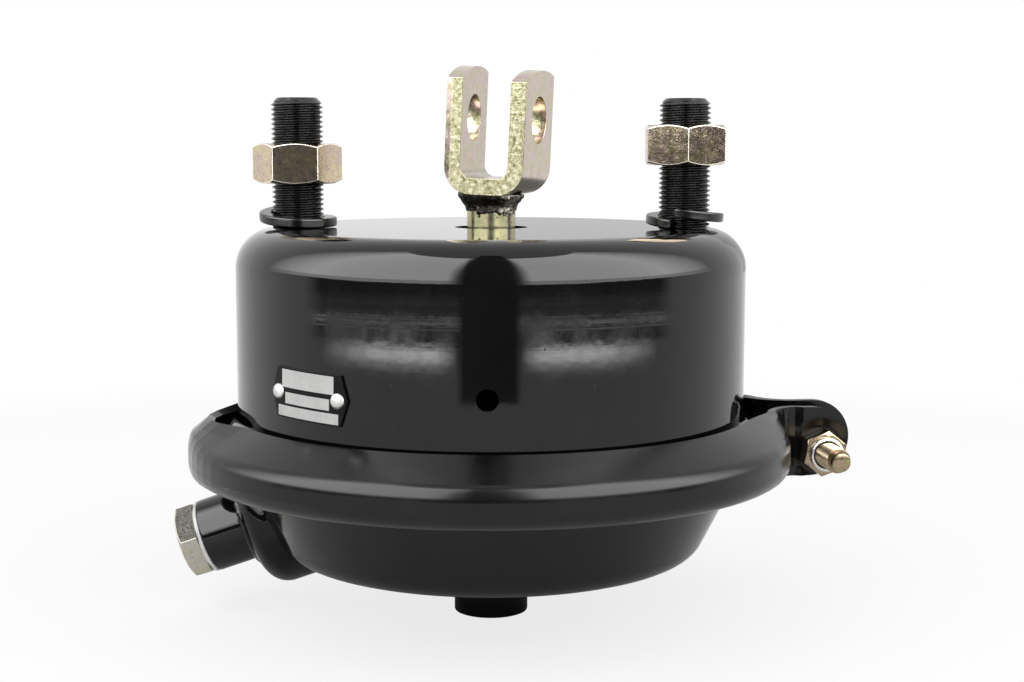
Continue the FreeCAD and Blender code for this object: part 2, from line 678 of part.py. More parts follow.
def centre_port_weld():
    """Weld ring round the foot of the centre boss."""
    half = BOSS_DIAMETER / 2
    leg = CENTRE_WELD_LEG
    weld = revolve_points([(half, BOWL_BOTTOM + 2 * leg), (half + leg, BOWL_BOTTOM + 2 * leg),
                           (half + leg, BOWL_BOTTOM + 0.1 * leg), (half + 0.6 * leg, BOWL_BOTTOM - 0.5 * leg),
                           (half, BOWL_BOTTOM - 0.9 * leg)])
    return weld.cut(bowl_solid(0, BOWL_BOTTOM + BOWL_DEPTH / 2))


def side_port_boss():
    """Threaded boss welded on the turret."""
    half = BOSS_DIAMETER / 2
    bore = PORT_BORE_DIAMETER / 2
    body = revolve_points([(bore + PORT_BORE_MOUTH, 0), (half - BOSS_EDGE, 0), (half, BOSS_EDGE),
                           (half, SIDE_BOSS_LENGTH), (bore, SIDE_BOSS_LENGTH), (bore, PORT_BORE_MOUTH)])
    return on_side_port(body)


def side_port_weld():
    """Weld ring round the foot of the side boss."""
    half = BOSS_DIAMETER / 2
    foot = SIDE_BOSS_LENGTH
    leg = SIDE_WELD_LEG
    weld = revolve_points([(half, foot), (half + leg, foot), (half + 0.6 * leg, foot - 0.55 * leg),
                           (half, foot - 0.9 * leg)])
    return on_side_port(weld)


def port_plug():
    """Hexagon plug screwed into the side port."""
    head = hexagon_prism(PLUG_FLATS, PLUG_HEAD, True, False)
    head.rotate(V(0, 0, 0), V(0, 0, 1), 90.0)
    head.translate(V(0, 0, -PLUG_HEAD - SEAL_THICKNESS))
    half = PORT_BORE_DIAMETER / 2
    shank = revolve_points([(0, -SEAL_THICKNESS), (half, -SEAL_THICKNESS), (half, PLUG_SHANK - 1.2),
                            (half - 1.2, PLUG_SHANK), (0, PLUG_SHANK)])
    return on_side_port(head.fuse(shank))


def port_plug_seal():
    """Sealing washer under the plug's head."""
    bore = PORT_BORE_DIAMETER / 2
    rim = BOSS_DIAMETER / 2 - SEAL_EDGE
    seal = revolve_points([(bore, -SEAL_THICKNESS), (rim, -SEAL_THICKNESS), (rim, 0), (bore, 0)])
    return on_side_port(seal)


def diaphragm_wall(height, depth):
    """Radius of the diaphragm's sloping wall at a height, at a depth behind its outer side."""
    slope = math.radians(BOWL_WALL_ANGLE)
    side = BOWL_MOUTH_RADIUS - (BOWL_SHEET + DIAPHRAGM_WALL_GAP + depth) / math.cos(slope)
    return side - (LOWER_LEG_TOP - height) * math.tan(slope)


def diaphragm_foot():
    """Height of the underside of the diaphragm's flat middle, just clear of the dome."""
    dome_end = bowl_outline(BOWL_SHEET)[2]
    return dome_end.z + DOME_GAP


def plate_underside():
    """Height of the push plate's underside, which rests on the diaphragm."""
    return diaphragm_foot() + DIAPHRAGM_THICKNESS + SOFT_GAP


def diaphragm():
    """Rubber diaphragm with a wedge bead at its rim, lying along the lower housing at rest."""
    foot = diaphragm_foot()
    rim_under = LOWER_LEG_TOP + BOWL_SHEET + SOFT_GAP
    path = [p(BEAD_RADIUS, rim_under), p(diaphragm_wall(rim_under, 0), rim_under),
            p(diaphragm_wall(foot, 0), foot), p(0, foot)]
    body = revolve(sheet_profile(path, [1.0, DIAPHRAGM_CORNER_RADIUS], DIAPHRAGM_THICKNESS))
    inner = HOUSING_RADIUS + SEAM_BEND_RADIUS + 0.5
    top = upper_flange_inside(BEAD_RADIUS) - SOFT_GAP
    inner_top = upper_flange_inside(inner) - SOFT_GAP
    bead = revolve_points([(BEAD_RADIUS, rim_under + 0.5), (BEAD_RADIUS, top), (inner, inner_top),
                           (inner - 1.7, inner_top - 0.6), (inner - 3.4, rim_under + 1.2)])
    return body.fuse(bead).removeSplitter()


def push_plate():
    """Dished push plate with a turned-up rim."""
    under = plate_underside()
    half = diaphragm_wall(under, DIAPHRAGM_THICKNESS) - PLATE_EDGE_GAP
    path = [p(half, under + PLATE_RIM), p(half, under), p(ROD_DIAMETER / 2, under)]
    return revolve(sheet_profile(path, [PLATE_RIM_BEND], PLATE_SHEET))


def push_plate_weld():
    """Weld ring between the push rod and the push plate."""
    weld = ring_weld(ROD_DIAMETER / 2, PLATE_WELD_LEG)
    weld.translate(V(0, 0, plate_underside() + PLATE_SHEET))
    return weld


def on_clevis(shape):
    """Turns and leans a shape modelled upright over the rod's end, as the clevis was welded."""
    shape.rotate(V(0, 0, CLEVIS_UNDERSIDE), V(0, 1, 0), CLEVIS_LEAN)
    shape.rotate(V(0, 0, 0), V(0, 0, 1), CLEVIS_TURN)
    shape.translate(V(CLEVIS_OFFSET, 0, 0))
    return shape


def clevis_section(depth, right):
    """Section of the bent strip at a depth, with its right ear at a distance from the middle."""
    left = -CLEVIS_WIDTH / 2
    foot = CLEVIS_UNDERSIDE
    top = foot + CLEVIS_PIN_RISE + 2 * CLEVIS_EYE_EDGE
    path = [p(right, top), p(right, foot), p(left, foot), p(left, top)]
    wire = sheet_profile(path, [CLEVIS_BEND_RADIUS, CLEVIS_BEND_RADIUS], CLEVIS_STRIP)
    wire.translate(V(0, depth, 0))
    return wire


def clevis_keep(first, last, top):
    """Block that an ear is trimmed to, between two distances from the middle, with an arched top."""
    d = CLEVIS_DEPTH / 2
    side = top - CLEVIS_TOP_RADIUS + math.sqrt(CLEVIS_TOP_RADIUS ** 2 - d ** 2)
    edges = [Part.LineSegment(V(first, -d, 0), V(first, -d, side)).toShape(),
             Part.Arc(V(first, -d, side), V(first, 0, top), V(first, d, side)).toShape(),
             Part.LineSegment(V(first, d, side), V(first, d, 0)).toShape(),
             Part.LineSegment(V(first, d, 0), V(first, -d, 0)).toShape()]
    return Part.Face(Part.Wire(edges)).extrude(V(last - first, 0, 0))


def clevis():
    """Clevis bent from strip into a U, with arched ear tops and a pin hole through both ears."""
    half = CLEVIS_WIDTH / 2
    d = CLEVIS_DEPTH / 2
    pin_height = CLEVIS_UNDERSIDE + CLEVIS_PIN_RISE
    top = pin_height + CLEVIS_EYE_EDGE
    body = Part.makeLoft([clevis_section(-d, half - CLEVIS_SPLAY), clevis_section(d, half)], True, True)
    left = body.common(clevis_keep(-2 * half, 0, top))
    right = body.common(clevis_keep(0, 2 * half, top - CLEVIS_TOP_STEP))
    body = left.fuse(right).removeSplitter()
    pin = Part.makeCylinder(CLEVIS_PIN_DIAMETER / 2, 2 * CLEVIS_WIDTH, V(-CLEVIS_WIDTH, 0, pin_height),
                            V(1, 0, 0))
    return on_clevis(body.cut(pin))


def clevis_cutter():
    """Block above the clevis's underside, for trimming the rod and its weld to it."""
    size = 2 * CLEVIS_WIDTH
    return on_clevis(Part.makeBox(size, size, size, V(-size / 2, -size / 2, CLEVIS_UNDERSIDE)))


def push_rod():
    """Push rod from the push plate to the underside of the clevis."""
    under = plate_underside()
    rod = Part.makeCylinder(ROD_DIAMETER / 2, CLEVIS_UNDERSIDE + 2 - under, V(0, 0, under))
    return rod.cut(clevis_cutter())


def clevis_weld():
    """Weld that flares from the rod to the underside of the clevis."""
    half = ROD_DIAMETER / 2
    foot = CLEVIS_UNDERSIDE - WELD_LENGTH
    top = CLEVIS_UNDERSIDE + 2
    weld = revolve_points([(half, foot), (half + 0.17 * WELD_FLARE, foot + 0.05 * WELD_LENGTH),
                           (half + 0.58 * WELD_FLARE, foot + 0.55 * WELD_LENGTH),
                           (half + WELD_FLARE, CLEVIS_UNDERSIDE - 0.3), (half + WELD_FLARE, top), (half, top)])
    return weld.cut(clevis_cutter())


def return_spring():
    """Conical return spring with closed end coils, between the stud plate and the push plate."""
    wire = SPRING_WIRE / 2
    foot_radius = ROD_DIAMETER / 2 + PLATE_WELD_LEG + SPRING_FOOT_GAP + wire
    head_radius = STUD_X - STUD_HEAD_DIAMETER / 2 - SPRING_HEAD_GAP - wire
    foot = plate_underside() + PLATE_SHEET + wire + SPRING_SEAT_GAP
    head = -HOUSING_SHEET - STUD_PLATE_THICKNESS - wire - SPRING_SEAT_GAP
    total = SPRING_ACTIVE_TURNS + 2 * SPRING_END_TURNS
    steps = round(total * 12)
    line = []
    for i in range(steps + 1):
        turns = total * i / steps
        climb = min(max((turns - SPRING_END_TURNS) / SPRING_ACTIVE_TURNS, 0.0), 1.0)
        radius = foot_radius + (head_radius - foot_radius) * turns / total
        angle = 2 * math.pi * turns
        line.append(V(radius * math.cos(angle), radius * math.sin(angle), foot + (head - foot) * climb))
    curve = Part.BSplineCurve()
    curve.interpolate(line)
    start = line[0]
    tangent = V(*curve.tangent(curve.FirstParameter)[0]).normalize()
    side = tangent.cross(V(0, 0, 1)).normalize()
    up = side.cross(tangent)
    corner = wire * 1.02
    ring = []
    for k in range(SPRING_SECTION_SIDES):
        angle = 2 * math.pi * (k + 0.5) / SPRING_SECTION_SIDES
        ring.append(start + side * (corner * math.cos(angle)) + up * (corner * math.sin(angle)))
    section = Part.makePolygon(ring + [ring[0]])
    return Part.Wire(curve.toShape()).makePipeShell([section], True, True)


def label_outline(width, edge_width, height, reach):
    """Solid block with the name plate's outline, pointing outward along +X."""
    hw = width / 2
    ew = edge_width / 2
    hh = height / 2
    corners = [V(0, -hw, 0), V(0, -ew, -hh), V(0, ew, -hh), V(0, hw, 0), V(0, ew, hh), V(0, -ew, hh)]
    return Part.Face(Part.makePolygon(corners + [corners[0]])).extrude(V(reach, 0, 0))


def name_plate():
    """Thin name plate curved round the upper housing's wall."""
    block = label_outline(LABEL_WIDTH, LABEL_EDGE_WIDTH, LABEL_HEIGHT, 2 * HOUSING_RADIUS)
    outside = HOUSING_RADIUS + LABEL_SHEET
    ring = revolve_points([(HOUSING_RADIUS, -LABEL_HEIGHT), (outside, -LABEL_HEIGHT),
                           (outside, LABEL_HEIGHT), (HOUSING_RADIUS, LABEL_HEIGHT)])
    plate = block.common(ring)
    plate.rotate(V(0, 0, 0), V(0, 0, 1), LABEL_AZIMUTH)
    plate.translate(V(0, 0, BAND_TOP + LABEL_ABOVE_BAND))
    return plate


def name_plate_rivet(side):
    """Round-headed rivet of the name plate."""
    swing = math.degrees(side * LABEL_RIVET_SPACING / 2 / HOUSING_RADIUS)
    half = LABEL_RIVET_DIAMETER / 2
    high = LABEL_RIVET_HEAD
    head = revolve_points([(0, 0), (half, 0), (half, 0.23 * high), (half * 0.82, 0.65 * high),
                           (half * 0.45, 0.92 * high), (0, high)])
    way = radial(LABEL_AZIMUTH + swing)
    place = way * (HOUSING_RADIUS + LABEL_SHEET) + V(0, 0, BAND_TOP + LABEL_ABOVE_BAND)
    head.Placement = FreeCAD.Placement(place, FreeCAD.Rotation(V(0, 0, 1), way))
    return head


def main():
    """Builds every piece and writes one file for each."""
    os.makedirs("parts", exist_ok=True)
    pieces = {
        "upper_housing": upper_housing(),
        "stud_plate": stud_plate(),
        "mounting_stud_left": mounting_stud(-1),
        "mounting_stud_right": mounting_stud(1),
        "stud_nut_left": stud_nut(-1, LEFT_NUT_FOOT, -3.0),
        "stud_nut_right": stud_nut(1, RIGHT_NUT_FOOT, 31.0),
        "lock_washer_left": lock_washer(-1, 95.0),
        "lock_washer_right": lock_washer(1, -103.5),
        "lower_housing": lower_housing(),
        "clamp_band": clamp_band(),
        "clamp_bolt": clamp_bolt(),
        "clamp_nut": clamp_nut(),
        "centre_port_boss": centre_port_boss(),
        "centre_port_weld": centre_port_weld(),
        "side_port_boss": side_port_boss(),
        "side_port_weld": side_port_weld(),
        "port_plug": port_plug(),
        "port_plug_seal": port_plug_seal(),
        "diaphragm": diaphragm(),
        "push_plate": push_plate(),
        "push_plate_weld": push_plate_weld(),
        "push_rod": push_rod(),
        "clevis": clevis(),
        "clevis_weld": clevis_weld(),
        "return_spring": return_spring(),
        "name_plate": name_plate(),
        "name_plate_rivets": Part.makeCompound([name_plate_rivet(-1), name_plate_rivet(1)]),
    }
    for name, shape in pieces.items():
        if not shape.isValid():
            raise ValueError(name + " is not a valid shape")
        shape.exportStep("parts/" + name + ".step")


main()
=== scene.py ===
"""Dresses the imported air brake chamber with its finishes, threads, welds and small parts.

Sizes in the classes are in millimetres and become metres where a mesh is made.
"""
import logging
import math
import random
from dataclasses import dataclass, field
from enum import Enum
from typing import Callable, Iterable, Sequence

import bpy
from mathutils import Matrix, Vector


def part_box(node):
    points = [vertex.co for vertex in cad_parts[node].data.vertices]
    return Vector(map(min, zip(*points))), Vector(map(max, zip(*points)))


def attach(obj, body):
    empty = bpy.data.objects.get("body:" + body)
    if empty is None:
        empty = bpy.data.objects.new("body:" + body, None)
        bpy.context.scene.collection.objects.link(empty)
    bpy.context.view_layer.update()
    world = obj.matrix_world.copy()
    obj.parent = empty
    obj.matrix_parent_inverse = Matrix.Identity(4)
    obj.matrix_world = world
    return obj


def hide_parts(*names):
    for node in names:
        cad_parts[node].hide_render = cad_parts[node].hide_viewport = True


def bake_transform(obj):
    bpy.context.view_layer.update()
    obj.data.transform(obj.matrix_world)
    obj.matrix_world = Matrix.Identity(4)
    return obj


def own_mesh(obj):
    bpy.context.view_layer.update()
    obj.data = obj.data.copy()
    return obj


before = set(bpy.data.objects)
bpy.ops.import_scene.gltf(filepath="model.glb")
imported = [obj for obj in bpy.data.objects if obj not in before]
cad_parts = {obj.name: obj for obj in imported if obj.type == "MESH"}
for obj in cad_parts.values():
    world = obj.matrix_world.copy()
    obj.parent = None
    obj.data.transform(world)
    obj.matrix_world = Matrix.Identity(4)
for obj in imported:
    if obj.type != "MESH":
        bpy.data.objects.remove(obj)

MM = 0.001
DOUBLED = 2e-6
THREAD_DEPTH = 0.6
THREAD_RUN_IN = 1.3
CORNER_TURN = math.radians(30)
CORNER_START = 0.25
Colour = tuple[float, float, float]
Place = tuple[float, float, float]
Point = tuple[float, float]
Stop = tuple[float, Colour]
Ring = tuple[int, int, float]
Panel = tuple[float, float, float]

logging.basicConfig(level=logging.INFO, format="%(message)s")
LOG = logging.getLogger("brake chamber")


class Side(Enum):
    """The two mounting studs, by the sign of their X."""

    LEFT = -1
    RIGHT = 1


class Body(str, Enum):
    """The CAD bodies that pieces ride on."""

    HOUSING = "housing"
    SPRING = "spring"
    ROD = "rod"
    LEFT_NUT = "left_nut"
    RIGHT_NUT = "right_nut"


# Bench: modelling steps shared by the pieces


def clear_bench() -> None:
    """Goes to object mode with nothing selected."""
    if bpy.context.object and bpy.context.object.mode != "OBJECT":
        bpy.ops.object.mode_set(mode="OBJECT")
    bpy.ops.object.select_all(action="DESELECT")


def activate(piece: bpy.types.Object) -> None:
    """Selects one piece alone and makes it the active one.

    Args:
        piece: The piece to select.
    """
    clear_bench()
    piece.select_set(True)
    bpy.context.view_layer.objects.active = piece


def edit(piece: bpy.types.Object, everything: bool = True) -> None:
    """Opens a piece in edit mode.

    Args:
        piece: The mesh object to edit.
        everything: Whether all of it starts selected, or nothing.
    """
    activate(piece)
    bpy.ops.object.mode_set(mode="EDIT")
    bpy.ops.mesh.select_all(action="SELECT" if everything else "DESELECT")


def leave_edit() -> None:
    """Returns to object mode."""
    bpy.ops.object.mode_set(mode="OBJECT")


def draw_line(name: str, points: Sequence[Place]) -> bpy.types.Object:
    """Draws an open line by extruding one vertex from point to point.

    Args:
        name: The new piece's name.
        points: Corners in millimetres.

    Returns:
        The piece, left in edit mode with its last vertex selected.
    """
    clear_bench()
    start = Vector(points[0]) * MM
    bpy.ops.mesh.primitive_plane_add(size=MM, location=start)
    piece = bpy.context.object
    piece.name = name
    piece.data.name = name
    bpy.ops.object.transform_apply(location=True, rotation=True, scale=True)
    bpy.ops.object.mode_set(mode="EDIT")
    bpy.ops.mesh.select_all(action="SELECT")
    bpy.ops.mesh.merge(type="CENTER")
    for near, far in zip(points, points[1:]):
        step = (Vector(far) - Vector(near)) * MM
        bpy.ops.mesh.extrude_vertices_move(TRANSFORM_OT_translate={"value": step})
    return piece


def heal(piece: bpy.types.Object) -> None:
    """Merges a piece's doubled vertices and points its faces outward.

    Args:
        piece: The piece.
    """
    edit(piece)
    bpy.ops.mesh.remove_doubles(threshold=DOUBLED)
    bpy.ops.mesh.normals_make_consistent(inside=False)
    leave_edit()


def lathe(name: str, outline: Sequence[Point], steps: int = 96, turn: float = 360.0) -> bpy.types.Object:
    """Spins an outline of radius and height pairs round the Z axis.

    Args:
        name: The new piece's name.
        outline: Radius and height of each corner, in millimetres.
        steps: Steps of the spin.
        turn: Degrees turned.

    Returns:
        The turned piece in object mode.
    """
    piece = draw_line(name, [(r, 0.0, z) for r, z in outline])
    bpy.ops.mesh.select_all(action="SELECT")
    bpy.ops.mesh.spin(steps=steps, angle=math.radians(turn), center=(0, 0, 0), axis=(0, 0, 1))
    leave_edit()
    heal(piece)
    return piece


def closed(outline: Sequence[Point]) -> list[Point]:
    """The outline with its first corner repeated at the end."""
    return [*outline, outline[0]]


def apply_modifier(piece: bpy.types.Object, kind: str, **settings: object) -> None:
    """Adds a modifier with its settings and applies it.

    Args:
        piece: The piece that is shaped.
        kind: The modifier's type.
        **settings: Values set on the modifier first.
    """
    activate(piece)
    modifier = piece.modifiers.new(kind.lower(), kind)
    for key, value in settings.items():
        setattr(modifier, key, value)
    bpy.ops.object.modifier_apply(modifier=modifier.name)


def carve(piece: bpy.types.Object, tool: bpy.types.Object, operation: str) -> None:
    """Joins, cuts or trims a piece with another mesh, which is used up.

    Args:
        piece: The piece that is shaped.
        tool: The mesh that shapes it.
        operation: INTERSECT, DIFFERENCE or UNION.
    """
    apply_modifier(piece, "BOOLEAN", operation=operation, object=tool, solver="EXACT")
    bpy.data.objects.remove(tool)


def soften(piece: bpy.types.Object, width: float, segments: int = 2, angle: float = 32.0,
           slot: int = -1) -> None:
    """Rounds a piece's sharp edges.

    Args:
        piece: The piece.
        width: Width of the round in millimetres.
        segments: Faces across the round.
        angle: Edges sharper than this many degrees are rounded.
        slot: Material slot of the round, or -1 for that of its neighbours.
    """
    apply_modifier(piece, "BEVEL", width=width * MM, segments=segments, limit_method="ANGLE",
                   angle_limit=math.radians(angle), use_clamp_overlap=True, material=slot)


def smooth(piece: bpy.types.Object, angle: float = 34.0) -> None:
    """Shades a piece smooth, with its sharp edges kept and its wide faces left flat.

    Args:
        piece: The piece.
        angle: Edges sharper than this many degrees stay sharp.
    """
    activate(piece)
    bpy.ops.object.shade_smooth_by_angle(angle=math.radians(angle))
    apply_modifier(piece, "WEIGHTED_NORMAL", keep_sharp=True, weight=60)


def set_down(piece: bpy.types.Object, place: Matrix) -> None:
    """Moves a piece to its place and bakes the place into its mesh.

    Args:
        piece: The piece.
        place: The move, on top of where the piece is.
    """
    activate(piece)
    piece.matrix_world = place @ piece.matrix_world
    bpy.ops.object.transform_apply(location=True, rotation=True, scale=True)


def shift(x: float, y: float, z: float) -> Matrix:
    """A move given in millimetres."""
    return Matrix.Translation(Vector((x, y, z)) * MM)


def pointing(direction: Vector, origin: Vector) -> Matrix:
    """Turns +Z toward a direction, then moves to an origin in millimetres."""
    turn = Vector((0, 0, 1)).rotation_difference(direction).to_matrix().to_4x4()
    return Matrix.Translation(origin * MM) @ turn


def spun(degrees: float) -> Matrix:
    """A turn about the Z axis."""
    return Matrix.Rotation(math.radians(degrees), 4, "Z")


def leaning(azimuth: float, degrees: float) -> Matrix:
    """A tilt that lowers the side at an azimuth."""
    turn = math.radians(azimuth)
    return Matrix.Rotation(math.radians(degrees), 4, Vector((-math.sin(turn), math.cos(turn), 0)))


def join(pieces: Iterable[bpy.types.Object], name: str) -> bpy.types.Object:
    """Joins several meshes into one piece.

    Args:
        pieces: The meshes, all of which are used up but the first.
        name: Name of the joined piece.

    Returns:
        The joined piece.
    """
    parts = list(pieces)
    clear_bench()
    for part in parts:
        part.select_set(True)
    bpy.context.view_layer.objects.active = parts[0]
    bpy.ops.object.join()
    parts[0].name = name
    parts[0].data.name = name
    return parts[0]


def copy_of(piece: bpy.types.Object, name: str) -> bpy.types.Object:
    """Copies a piece together with its mesh.

    Args:
        piece: The model.
        name: Name of the copy.

    Returns:
        The copy, with its own mesh.
    """
    activate(piece)
    bpy.ops.object.duplicate(linked=False)
    twin = bpy.context.object
    twin.name = name
    twin.data.name = name
    return twin


def threaded_rod(name: str, diameter: float, pitch: float, low: float, high: float,
                 steps: int = 36) -> bpy.types.Object:
    """A thread cut off flat at both ends.

    Args:
        name: The new piece's name.
        diameter: Diameter over the thread.
        pitch: Pitch of the thread.
        low: Height of the lower end.
        high: Height of the upper end.
        steps: Steps in one turn.

    Returns:
        The closed, threaded rod standing on the Z axis.
    """
    crest = diameter / 2
    root = crest - THREAD_DEPTH * pitch
    start = low - THREAD_RUN_IN * pitch
    line = [(root, 0.0), (root, 0.2), (crest, 0.52), (crest, 0.68), (root, 1.0)]
    piece = draw_line(name, [(r, 0.0, start + h * pitch) for r, h in line])
    leave_edit()
    apply_modifier(piece, "SCREW", axis="Z", angle=2 * math.pi, screw_offset=pitch * MM,
                   iterations=math.ceil((high - low) / pitch) + 3, steps=steps, render_steps=steps,
                   use_merge_vertices=True, merge_threshold=DOUBLED, use_smooth_shade=False)
    heal(piece)
    for height, inner in ((low, True), (high, False)):
        edit(piece)
        bpy.ops.mesh.bisect(plane_co=(0, 0, height * MM), plane_no=(0, 0, 1), use_fill=True,
                            clear_inner=inner, clear_outer=not inner)
        leave_edit()
    heal(piece)
    return piece


def hexagon(name: str, flats: float, low: float, high: float, chamfer_low: bool,
            chamfer_high: bool) -> bpy.types.Object:
    """A hexagon bar whose corners are turned off at 30 degrees.

    Args:
        name: The new piece's name.
        flats: Width across flats.
        low: Height of its lower face.
        high: Height of its upper face.
        chamfer_low: Whether the lower corners are turned off.
        chamfer_high: Whether the upper corners are turned off.

    Returns:
        The closed bar, standing on the Z axis.
    """
    corner = flats / math.sqrt(3)
    clear_bench()
    bpy.ops.mesh.primitive_cylinder_add(vertices=6, radius=corner * MM, depth=(high - low) * MM,
                                        location=(0, 0, (high + low) / 2 * MM),
                                        rotation=(0, 0, math.radians(30)))
    piece = bpy.context.object
    piece.name = name
    piece.data.name = name
    bpy.ops.object.transform_apply(location=True, rotation=True, scale=True)
    touch = flats / 2 - CORNER_START
    wide = corner + 0.5
    drop = (wide - touch) * math.tan(CORNER_TURN)
    outline = [(0, low - 1), (wide, low - 1)]
    if chamfer_low:
        outline = [(0, low), (touch, low), (wide, low + drop)]
    if chamfer_high:
        outline += [(wide, high - drop), (touch, high), (0, high)]
    else:
        outline += [(wide, high + 1), (0, high + 1)]
    carve(piece, lathe("hexagon_trim", outline), "INTERSECT")
    return piece


def arc(x: float, z: float, radius: float, start: float, end: float, steps: int) -> list[Point]:
    """Points along a round corner.

    Args:
        x: First coordinate of its centre.
        z: Second coordinate of its centre.
        radius: Radius of the corner.
        start: Angle of the first point in degrees.
        end: Angle of the last point.
        steps: Number of runs between them.

    Returns:
        The points as pairs.
    """
    angles = [math.radians(start + (end - start) * step / steps) for step in range(steps + 1)]
    return [(x + radius * math.cos(angle), z + radius * math.sin(angle)) for angle in angles]


def prism(name: str, corners: Sequence[Place], push: Place) -> bpy.types.Object:
    """A flat outline pushed into a block.

    Args:
        name: The new piece's name.
        corners: Corners of the outline in millimetres.
        push: How far the outline is pushed, in millimetres.

    Returns:
        The closed block in object mode.
    """
    piece = draw_line(name, [*corners, corners[0]])
    bpy.ops.mesh.select_all(action="SELECT")
    bpy.ops.mesh.remove_doubles(threshold=DOUBLED)
    bpy.ops.mesh.edge_face_add()
    bpy.ops.mesh.extrude_region_move(TRANSFORM_OT_translate={"value": Vector(push) * MM})
    leave_edit()
    heal(piece)
    return piece


def move_where(piece: bpy.types.Object, test: Callable[[Vector], bool], move: Place) -> None:
    """Moves the vertices that pass a test.

    Args:
        piece: The piece.
        test: Says of a vertex's place whether it moves.
        move: The move in millimetres.
    """
    edit(piece, everything=False)
    bpy.ops.mesh.select_mode(type="VERT")
    leave_edit()
    for vertex in piece.data.vertices:
        vertex.select = test(vertex.co)
    bpy.ops.object.mode_set(mode="EDIT")
    bpy.ops.transform.translate(value=Vector(move) * MM)
    leave_edit()


def bead(radius: float, angle: float, height: float, size: float) -> bpy.types.Object:
    """A small drop of weld metal.

    Args:
        radius: Distance of its middle from the Z axis in millimetres.
        angle: Its angle round the axis in radians.
        height: Its height.
        size: Its own radius.

    Returns:
        The drop, flattened a little.
    """
    clear_bench()
    bpy.ops.mesh.primitive_ico_sphere_add(subdivisions=2, radius=size * MM)
    drop = bpy.context.object
    place = shift(radius * math.cos(angle), radius * math.sin(angle), height)
    set_down(drop, place @ Matrix.Rotation(angle, 4, "Z") @ Matrix.Diagonal((0.9, 0.8, 1.1, 1.0)))
    return drop


def pimple(piece: bpy.types.Object, size: float, height: float) -> None:
    """Roughens a piece's shape with soft lumps.

    Args:
        piece: The piece.
        size: Size of a lump in millimetres.
        height: Full height of the lumps in millimetres.
    """
    lumps = bpy.data.textures.new(piece.name + "_lumps", "CLOUDS")
    lumps.noise_scale = size * MM
    apply_modifier(piece, "DISPLACE", texture=lumps, texture_coords="LOCAL", strength=height * MM,
                   mid_level=0.5)


def face_way(piece: bpy.types.Object, azimuth: float) -> None:
    """Turns a part-turned piece about Z until its middle points to an azimuth.

    Args:
        piece: The piece.
        azimuth: The azimuth in degrees.
    """
    middle = sum((vertex.co for vertex in piece.data.vertices), Vector())
    set_down(piece, spun(azimuth - math.degrees(math.atan2(middle.y, middle.x))))


# Paint shop: node trees behind the finishes


